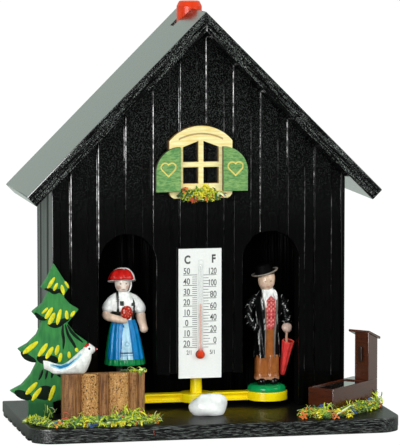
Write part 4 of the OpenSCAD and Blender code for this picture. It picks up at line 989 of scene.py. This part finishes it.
def woman():
    """Parts of the woman, about the middle of the disc: each a loft, a tube or a strip of ring."""
    skirt = ((11.3, 0, 0, 7.3, 5.9, 0.035), (12.4, 0, 0, 7.15, 5.85, 0.035), (16, -0.1, 0, 6.7, 5.4, 0.03),
             (21, -0.3, 0, 5.9, 4.7, 0.02), (25, -0.45, 0, 5.0, 3.8, 0.01), (27.2, -0.5, 0, 4.2, 3.2, 0))
    over = [(z, x, y, w + 0.35, d + 0.35) for z, x, y, w, d, _ in skirt if z > 12] + [(27.6, -0.5, 0, 4.4, 3.5)]
    over[0] = (13.5, 0, 0, 7.4, 6.05)
    rows, sides, reach, pleats = 60, 90, math.radians(66), 16
    wide = np.full(rows, reach)
    apron = band(over, rows, -wide, wide, sides, 0.5)
    folds = 0.2 * np.cos(np.linspace(-reach, reach, sides) * pleats)
    apron[:, :sides, 1] += folds * np.linspace(1, 0.2, rows)[:, None]

    def apron_paint(x, y, z):
        """Blue, with painted shade in the pleats, a pale panel that narrows upwards, a ring on it, two lines and a
        tie.
        """
        angle = np.degrees(np.arctan2(x + 0.2, -y)) + 1
        panel = np.abs(angle) < np.interp(z, [13.5, 20, 26.5], [23, 17, 14])
        lines = (np.abs(angle) < 25) & ((np.abs(z - 15.9) < 0.17) | (np.abs(z - 15.0) < 0.17))
        ring_mark = np.abs(np.hypot(x + 0.1, z - 19.1) - 0.75) < 0.2
        tie = (np.abs(x + 1.1) < 0.22) & (np.abs(z - 25.4) < 0.5)
        # Painted shade where the pleats go back.
        fold = (np.cos(np.radians(angle - 1) * pleats) > 0.9) & (y < -2)
        return ["#0684cc", (fold, "#0669a4"), (panel, "#b4e0f5"), (panel & ring_mark, "#86b4cc"),
                (lines, "#1d4f80"), (tie, "#123a5c")]

    def torso_paint(x, y, z):
        """A white blouse, with a dark bodice below and at the back, straps, and tabs on the breast."""
        ahead = y < 0
        bodice = (z < 30.9) & ((np.abs(x - 0.1) > 2.0) | ~ahead)
        tabs = ahead & (((np.abs(x + 1.6) < 0.8) & (np.abs(z - 33.7) < 0.85))
                        | ((np.abs(x - 2.5) < 0.6) & (np.abs(z - 33.2) < 0.6)))
        straps = (np.abs(np.abs(x - 0.05) - 3.0) < 0.45) & (z > 30)
        return [WHITE, (bodice | straps, "#1d211f"), (tabs, "#3b403d")]

    def posy_paint(x, y, z):
        """Red, with pale petals where waves round and out from the middle are both high."""
        petal = np.sin(np.arctan2(x + 0.1, z - 30.4) * 6) * np.sin(np.hypot(x + 0.1, z - 30.4) * 4.2) > 0.55
        return ["#b9241a", (petal & (y < -5.2), "#e8907a")]

    def tipped(grid):
        """Tips a grid back: each point sinks by how far behind the head's middle it lies."""
        grid[..., 2] -= 0.24 * (grid[..., 1] - 0.2)
        return grid

    torso = rings(((26, -0.5, 0, 4.3, 3.2), (28.5, -0.5, 0, 4.0, 3.0), (31.5, -0.4, -0.2, 4.6, 3.4),
                   (34.2, -0.4, -0.1, 4.6, 3.1), (36.6, -0.7, 0, 3.3, 2.5), (38.0, -0.9, -0.1, 2.0, 1.9)), 70, 150)
    head = rings(((37.4, -0.9, -0.1, 1.3, 1.5), (38.1, -1, -0.6, 1.8, 2.0), (39.2, -1, -0.7, 2.4, 2.6),
                  (40.7, -1, -0.5, 2.75, 2.95), (42.1, -1, -0.4, 2.85, 3.0), (43.6, -1, -0.2, 2.5, 2.6)), 70, 120)
    shell = tipped(rings(((41.2, -1, 0.2, 4.2, 4.0, 0.01), (41.3, -1, 0.2, 4.8, 4.6, 0.02),
                          (41.6, -1, 0.2, 5.05, 4.85, 0.03), (42.1, -0.9, 0.3, 4.9, 4.7, 0.03),
                          (43.6, -0.75, 0.5, 4.35, 4.1, 0.05), (45.2, -0.75, 0.6, 3.3, 3.0, 0.06),
                          (46.2, -0.75, 0.6, 1.9, 1.7, 0.04), (46.4, -0.75, 0.6, 0.4, 0.4)), 50, 120, 7, 0.4))
    crown = tipped(rings(((41.4, -1.1, -0.05, 4.6, 4.7, 0.02), (41.9, -1.15, -0.1, 4.85, 4.85, 0.03),
                          (43.4, -1.2, -0.1, 4.4, 4.3, 0.05), (44.9, -1.2, -0.05, 3.4, 3.2, 0.06),
                          (45.8, -1.2, 0, 1.9, 1.8, 0.05), (46.0, -1.2, 0, 0.4, 0.4)), 40, 120, 7, 0.9))
    parts = [coloured(rings(BASE_RINGS, 24, 64), "#0e9a55"),
             coloured(rings(skirt, 60, 192, 18), "#0c8a4a"), coloured(apron, apron_paint),
             coloured(torso, torso_paint), coloured(head, face_paint(SKIN, "#7a4a30", -1, 40.9, 42.9)),
             coloured(shell, WHITE), coloured(crown, "#cf1f1a"),
             coloured(tube(((-2.2, 0, 36.8), (-4.5, -0.2, 34.8), (-6.1, -0.4, 32.4), (-6.5, -0.5, 30.0)),
                           (1.1, 1.75, 2.15, 2.4)), WHITE),
             coloured(tube(((0.6, 0, 36.8), (3.4, -0.2, 34.8), (5.2, -0.4, 32.2), (5.7, -0.5, 29.3)),
                           (1.1, 1.75, 2.15, 2.4)), WHITE),
             coloured(tube(((-6.6, -0.4, 31.2), (-6.9, -1.0, 29.2), (-4.9, -3.0, 28.5), (-2.1, -4.4, 28.0),
                            (0.1, -5.2, 27.7)), (1.5, 1.55, 1.45, 1.3, 1.1)), SKIN_ARM),
             coloured(tube(((5.6, -0.4, 30.8), (5.9, -0.7, 27.8), (6.6, -1.2, 25.2), (7.1, -1.6, 22.6)),
                           (1.9, 1.7, 1.45, 1.65)), SKIN_ARM),
             coloured(ball((-0.2, -5.0, 30.6), (2.1, 1.35, 2.55), 48, 60, 0.05, 6), posy_paint),
             coloured(tube(((2.2, -0.6, 42.0), (2.15, -1.2, 40.2), (1.6, -1.8, 38.6), (0.9, -2.0, 37.6)),
                           (0.22, 0.3, 0.3, 0.22), 20, 10), WHITE)]
    # The legs are dark grey as painted shadow under the skirt; the shoes are black.
    for x in (-2, 2):
        parts += [coloured(tube(((x, 0, 2.2), (x, 0, 7), (x, 0, 12)), (1.2, 1.2, 1.4)), "#34352f"),
                  coloured(tube(((x, 1.2, 3.1), (x, -0.6, 3.2), (x, -2.6, 2.9)), (1.1, 1.3, 1.1)), BLACK)]
    return parts


def man():
    """Parts of the man, about the middle of the disc: each a loft, a tube or a strip of ring."""
    trousers = rings(((4.1, 0, 0, 4.4, 2.9), (4.4, 0, 0, 4.5, 3.05), (5.4, 0, 0, 4.45, 3.1), (6.4, 0, 0, 4.35, 2.95),
                      (9, 0, 0, 4.35, 2.95), (12.8, 0.1, 0, 4.3, 2.9), (13.4, 0.1, 0, 4.0, 2.6)), 48, 120, corner=3.4)
    middle = np.exp(-((trousers[..., 0] - 0.1) / 0.55) ** 2)
    trousers[..., 1] *= 1 - 0.22 * middle

    def inner_paint(x, y, z):
        """Trousers, a red vest with checks and buttons that tapers to the neck, and a white shirt above."""
        vest = (z > 23) & (np.abs(x - 1.0) < 1.75) & (z < 35.2 - 1.05 * np.abs(x - 1.0))
        check = vest & (np.sin(z * 4.4) * np.sin(x * 4.0 + 0.6) > 0.4)
        button = vest & (np.abs(np.abs(x - 1.0) - 0.75) < 0.3) & (np.sin(z * 3.3) > 0.7)
        shirt = (z > 30.5) & ~vest
        return [TROUSERS, (vest, "#d4565a"), (check, "#f2a598"), (button, "#a01f28"), (shirt, WHITE)]

    inner = rings(((12.4, 0.1, 0, 4.0, 2.7), (22, 0.3, 0, 3.8, 2.75), (30, 0.4, 0, 3.9, 3.0),
                   (34.6, 0.5, 0, 3.4, 2.7), (36.6, 0.2, -0.2, 2.7, 2.4), (38.0, -0.1, -0.2, 2.1, 2.0)), 90, 150)
    coat = [(12.2, 0.1, 0, 4.75, 3.45), (18, 0.2, 0, 4.6, 3.4), (24, 0.3, 0, 4.55, 3.4), (30.5, 0.45, 0, 5.1, 3.65),
            (34, 0.45, 0, 5.1, 3.3), (36, 0.4, 0.1, 3.6, 2.7), (37.6, 0.2, 0.2, 2.7, 2.35)]
    rows, sides, levels = 80, 110, [12, 23, 30, 34.5, 37]
    z, x, _, wide, _ = smooth_rows(coat, rows).T
    start, stop = (np.arcsin(np.clip((np.interp(z, levels, opening) - x) / wide, -0.98, 0.98))
                   for opening in ([2.3, 2.5, 3.1, 3.4, 2.2], [-1.2, -0.9, -1.1, -2.0, -2.1]))
    shell = band(coat, rows, start, TURN + stop, sides, 0.55)
    angle = np.arctan2(shell[..., 0], -shell[..., 1])
    crease = 0.22 * np.sin(angle * 9 + shell[..., 2] * 0.25) * np.clip((32 - shell[..., 2]) / 12, 0.3, 1)
    shell[..., 0] += crease * np.sin(angle)
    shell[..., 1] -= crease * np.cos(angle)
    # Columns at the edges of the opening, which get painted highlight lines.
    along = np.broadcast_to(np.arange(2 * sides), shell.shape[:2]) % sides
    edges = ((along < 2) | (along > sides - 3)).ravel()

    def coat_paint(x, y, z):
        """Black, with painted highlights: thin light lines along the crests of the creases, and light edges at the
        opening.
        """
        bearing = np.arctan2(x - 0.3, -y)
        painted_glints = (np.sin(bearing * 9 + z * 0.25) > 0.975) & (np.sin(z * 0.9 + 3 * bearing) > -0.2) & (y < 0.5)
        return [BLACK, (painted_glints, "#d8d8d6"), (edges, "#857d76")]

    def sleeve_paint(x, y, z):
        """Black, with short painted highlight lines where a wave across the sleeve is highest."""
        painted_glints = (np.sin(z * 1.9 + 2.6 * np.sin(x * 1.9)) > 0.965) & (y < -0.2) & (np.sin(x * 2.3 + z * 0.8) > -0.4)
        return [BLACK, (painted_glints, "#e0e0de")]

    head = rings(((36.9, -0.2, -0.2, 1.6, 1.7), (37.6, -0.3, -0.6, 2.05, 2.15), (38.8, -0.3, -0.65, 2.75, 2.75),
                  (40.4, -0.25, -0.5, 3.1, 3.05), (42, -0.2, -0.3, 3.05, 3.05), (43.6, -0.1, 0, 2.6, 2.7)), 70, 120)
    hat = rings(((-0.35, 0, 0, 3.0, 3.0), (-0.4, 0, 0, 4.3, 4.1), (-0.1, 0, 0, 5.0, 4.75), (0.22, 0, 0, 5.0, 4.75),
                 (0.28, 0, 0, 4.2, 4.0), (0.3, 0, 0, 3.35, 3.3), (1.4, 0, 0, 3.15, 3.1), (2.9, 0, 0, 2.85, 2.85),
                 (3.5, 0, 0, 2.1, 2.1), (3.45, 0, 0, 0.4, 0.4)), 90, 96)
    reach = np.hypot(hat[..., 0], hat[..., 1])
    # The brim's rim, which gets a painted highlight.
    edge = (reach > 4.15).ravel()
    hat[..., 2] += np.clip(reach - 3.3, 0, None) ** 2 * 0.12 * np.abs(np.sin(np.arctan2(hat[..., 0], -hat[..., 1])))
    hat[..., 0], hat[..., 2] = turned(hat[..., 0], hat[..., 2], math.radians(16))
    hat += (-0.7, 0.2, 43.2)

    def hat_paint(x, y, z):
        """Black, with a painted highlight on the edge of the brim."""
        return ["#030303", (edge, "#a0968b")]

    def trouser_paint(x, y, z):
        """Brown, with painted shade in wavy creases below, and pale hems."""
        crease = (np.abs(np.sin(z * 1.9 + 0.5 * np.sin(x * 1.4))) < 0.12) & (z < 8)
        return [TROUSERS, (crease, "#7d4420"), (z < 5.2, "#b98468")]

    parts = [coloured(rings(BASE_RINGS, 24, 64), "#0e9a55"), coloured(trousers, trouser_paint),
             coloured(inner, inner_paint), coloured(shell, coat_paint),
             coloured(head, face_paint(SKIN_TAN, "#6d5f55", -0.3, 40.5, 42.8)),
             coloured(tube(((-3.4, 0.2, 35), (-6.0, 0.3, 32.2), (-7.0, 0.1, 28.4), (-6.4, -0.8, 25.2),
                            (-3.9, -2.6, 22.4)), (1.5, 1.8, 1.75, 1.6, 1.35), 90, 40, creases=0.16), sleeve_paint),
             coloured(tube(((4.2, 0.2, 35), (6.4, 0.2, 32), (7.2, -0.2, 28), (7.4, -1.0, 24.2)),
                           (1.5, 1.8, 1.7, 1.8), 90, 40, creases=0.16), sleeve_paint),
             coloured(ball((7.2, -1.5, 23.0), (1.95, 1.7, 1.85), 24, 30, 0.06, 4), SKIN_HAND)]
    for x in (-2.2, 2.2):
        parts.append(coloured(tube(((x, 1.0, 3.4), (x, -1.0, 3.6), (x * 1.08, -3.6, 3.2)), (1.5, 1.9, 1.5)), BLACK))
    for side in (-1, 1):
        flap = ((0.5 + side * 1.7, -2.0, 37.2), (0.6 + side * 2.0, -2.7, 35.4), (0.7 + side * 2.3, -2.9, 33.4))
        parts.append(coloured(tube(flap, (0.5, 0.7, 0.3), 20, 14, 0.4), WHITE))
    return parts, [coloured(hat, hat_paint)]


figure_enamel = enamel("figure_enamel", 0.18, 0.26)
matt_black = enamel("matt_hat_paint", 0.6, 0.05)
man_parts, man_hat = man()
piece("woman_painted", woman(), figure_enamel, "turnstile_set", ("woman_figure",), woman_foot)
piece("man_painted", man_parts, figure_enamel, "turnstile_set", ("man_figure",), man_foot)
piece("man_hat_painted", man_hat, matt_black, "turnstile_set", (), man_foot)


def folded_umbrella():
    """A furled umbrella: a cone of eight soft folds, open and hollow at its top, on a thin stick."""
    cloth = rings(((0, 0, 0, 0.5, 0.5, 0), (0.4, 0, 0, 0.95, 0.95, 0.02), (3, 0, 0, 1.25, 1.25, 0.05),
                   (9, 0, 0, 1.75, 1.75, 0.07), (12.8, 0, 0, 2.2, 2.2, 0.08), (13.4, 0, 0, 2.2, 2.2, 0.08),
                   (13.3, 0, 0, 1.8, 1.8, 0.06), (12.0, 0, 0, 1.0, 1.0, 0.02)), 70, 64, 8)
    stick = tube(((-0.2, 0, 11.5), (-0.8, 0, 14), (-1.3, 0, 17.4)), (0.5, 0.5, 0.5), 16, 12)

    def cloth_paint(x, y, z):
        """Red, with painted shade in the hollow and a painted highlight on the lip."""
        painted_hollow_shade = (z > 11.9) & (np.hypot(x, y) < 1.75)
        return ["#ff4a48", (painted_hollow_shade, "#a81414"), (z > 13.2, "#ff5e4c")]

    lean, forward, grip = math.radians(7), math.radians(14), 15.9
    parts = []
    for grid, paint in ((cloth, cloth_paint), (stick, "#c9a08a")):
        points, faces, colours = coloured(grid, paint)
        x, y, z = (points - (0, 0, grip)).T
        y, z = turned(y, z, forward)
        x, z = turned(x, z, -lean)
        parts.append((np.stack([8.2 + x, y - 1.5, 20.5 + z], -1), faces, colours))
    return parts


piece("umbrella_painted", folded_umbrella(), enamel("umbrella_enamel", 0.25), "turnstile_set",
      ("umbrella",), man_foot)

# Studio: a white floor and surround, soft lamps and the camera

def studio_floor():
    """A floor that shows as white to the camera, with a faint shadow of the object.
    For the light it is white behind the object and dark in front, as a black card before the set would make it."""
    half, drop = 4.0, -0.0002
    mesh = bpy.data.meshes.new("studio_floor")
    corners = [(x * half, y * half, drop) for x, y in ((-1, -1), (1, -1), (1, 1), (-1, 1))]
    mesh.from_pydata(corners, [], [(0, 1, 2, 3)])
    floor = bpy.data.objects.new("studio_floor", mesh)
    bpy.context.scene.collection.objects.link(floor)
    material, tree = surface("white_studio_floor")
    seen = node(tree, "LightPath", out="Is Camera Ray")
    behind = node(tree, "MapRange", (metres(tree, "Y"), -0.06, 0.03))
    white = node(tree, "Math", (behind, seen), operation="MAXIMUM")
    dressed(material, Roughness=0.9, Specular_IOR_Level=0.0, Base_Color=blend(tree, white, "#3a3a3a", "#f4f4f4"))
    glow = node(tree, "Emission", {"Strength": 1.06})
    covered(tree, node(tree, "Math", (seen, 0.9), operation="MULTIPLY"), glow)
    mesh.materials.append(material)


def surround():
    """White behind and at the sides. On the camera's side it is dim for reflections, so black lacquer stays black
    from the front, and half as bright for soft light."""
    world = bpy.data.worlds.new("white_surround")
    world.use_nodes = True
    tree = world.node_tree
    ahead = node(tree, "SeparateXYZ", (node(tree, "TexCoord", out="Generated"),), "Y")
    camera_ray, clear_ray, soft_ray = (node(tree, "LightPath", out="Is %s Ray" % kind)
                                       for kind in ("Camera", "Transmission", "Diffuse"))
    seen = node(tree, "Math", (camera_ray, clear_ray), operation="MAXIMUM")
    soft = node(tree, "MapRange", (soft_ray, 0, 1, 0.03, 0.6))
    level = node(tree, "Math", (soft, seen), operation="MAXIMUM")
    level = node(tree, "Math", (node(tree, "MapRange", (ahead, -0.35, 0.2, 0.03, 0.93)), level), operation="MAXIMUM")
    fill(tree, tree.nodes["Background"], {"Color": blend(tree, seen, "#eafaf0", "#ffffff"), "Strength": level})
    bpy.context.scene.world = world


def lamp(name, place, aim, size, power, diffuse=True, glossy=True):
    """A soft rectangular lamp at a place, turned to aim at a point; it may be left out of one kind of light."""
    light = bpy.data.lights.new(name, "AREA")
    light.shape, light.size, light.size_y, light.energy = "RECTANGLE", size[0], size[1], power
    holder = bpy.data.objects.new(name, light)
    bpy.context.scene.collection.objects.link(holder)
    holder.location = place
    holder.rotation_euler = (Vector(aim) - Vector(place)).to_track_quat("-Z", "Y").to_euler()
    holder.visible_camera = False
    holder.visible_diffuse, holder.visible_glossy = diffuse, glossy


studio_floor()
surround()
lamp("key_softbox", (-0.85, -0.9, 0.6), (0, 0, 0.06), (0.5, 0.5), 4.6)
lamp("front_softbox", (-0.2, -1.35, 0.32), (0, 0, 0.06), (2.2, 0.6), 11, glossy=False)
lamp("fill_softbox", (0.85, -0.85, 0.5), (0, 0, 0.06), (0.6, 0.6), 4.6)
lamp("left_panel", (-0.272, -0.42, 0.085), (0, 0, 0.07), (0.26, 0.17), 2, diffuse=False)
lamp("right_panel", (0.4, -0.3, 0.085), (0, 0, 0.08), (0.2, 0.17), 0.12, diffuse=False)

camera = bpy.data.cameras.new("camera")
camera.sensor_fit, camera.sensor_width, camera.lens = "HORIZONTAL", 36.0, 333.39
camera.clip_end = 20
viewer = bpy.data.objects.new("camera", camera)
viewer.location = (-0.2732, -1.2996, 0.2193)
viewer.rotation_euler = (math.radians(83.73), 0, math.radians(-11.87))
bpy.context.scene.collection.objects.link(viewer)
bpy.context.scene.camera = viewer
bpy.context.scene.view_settings.view_transform = "Standard"
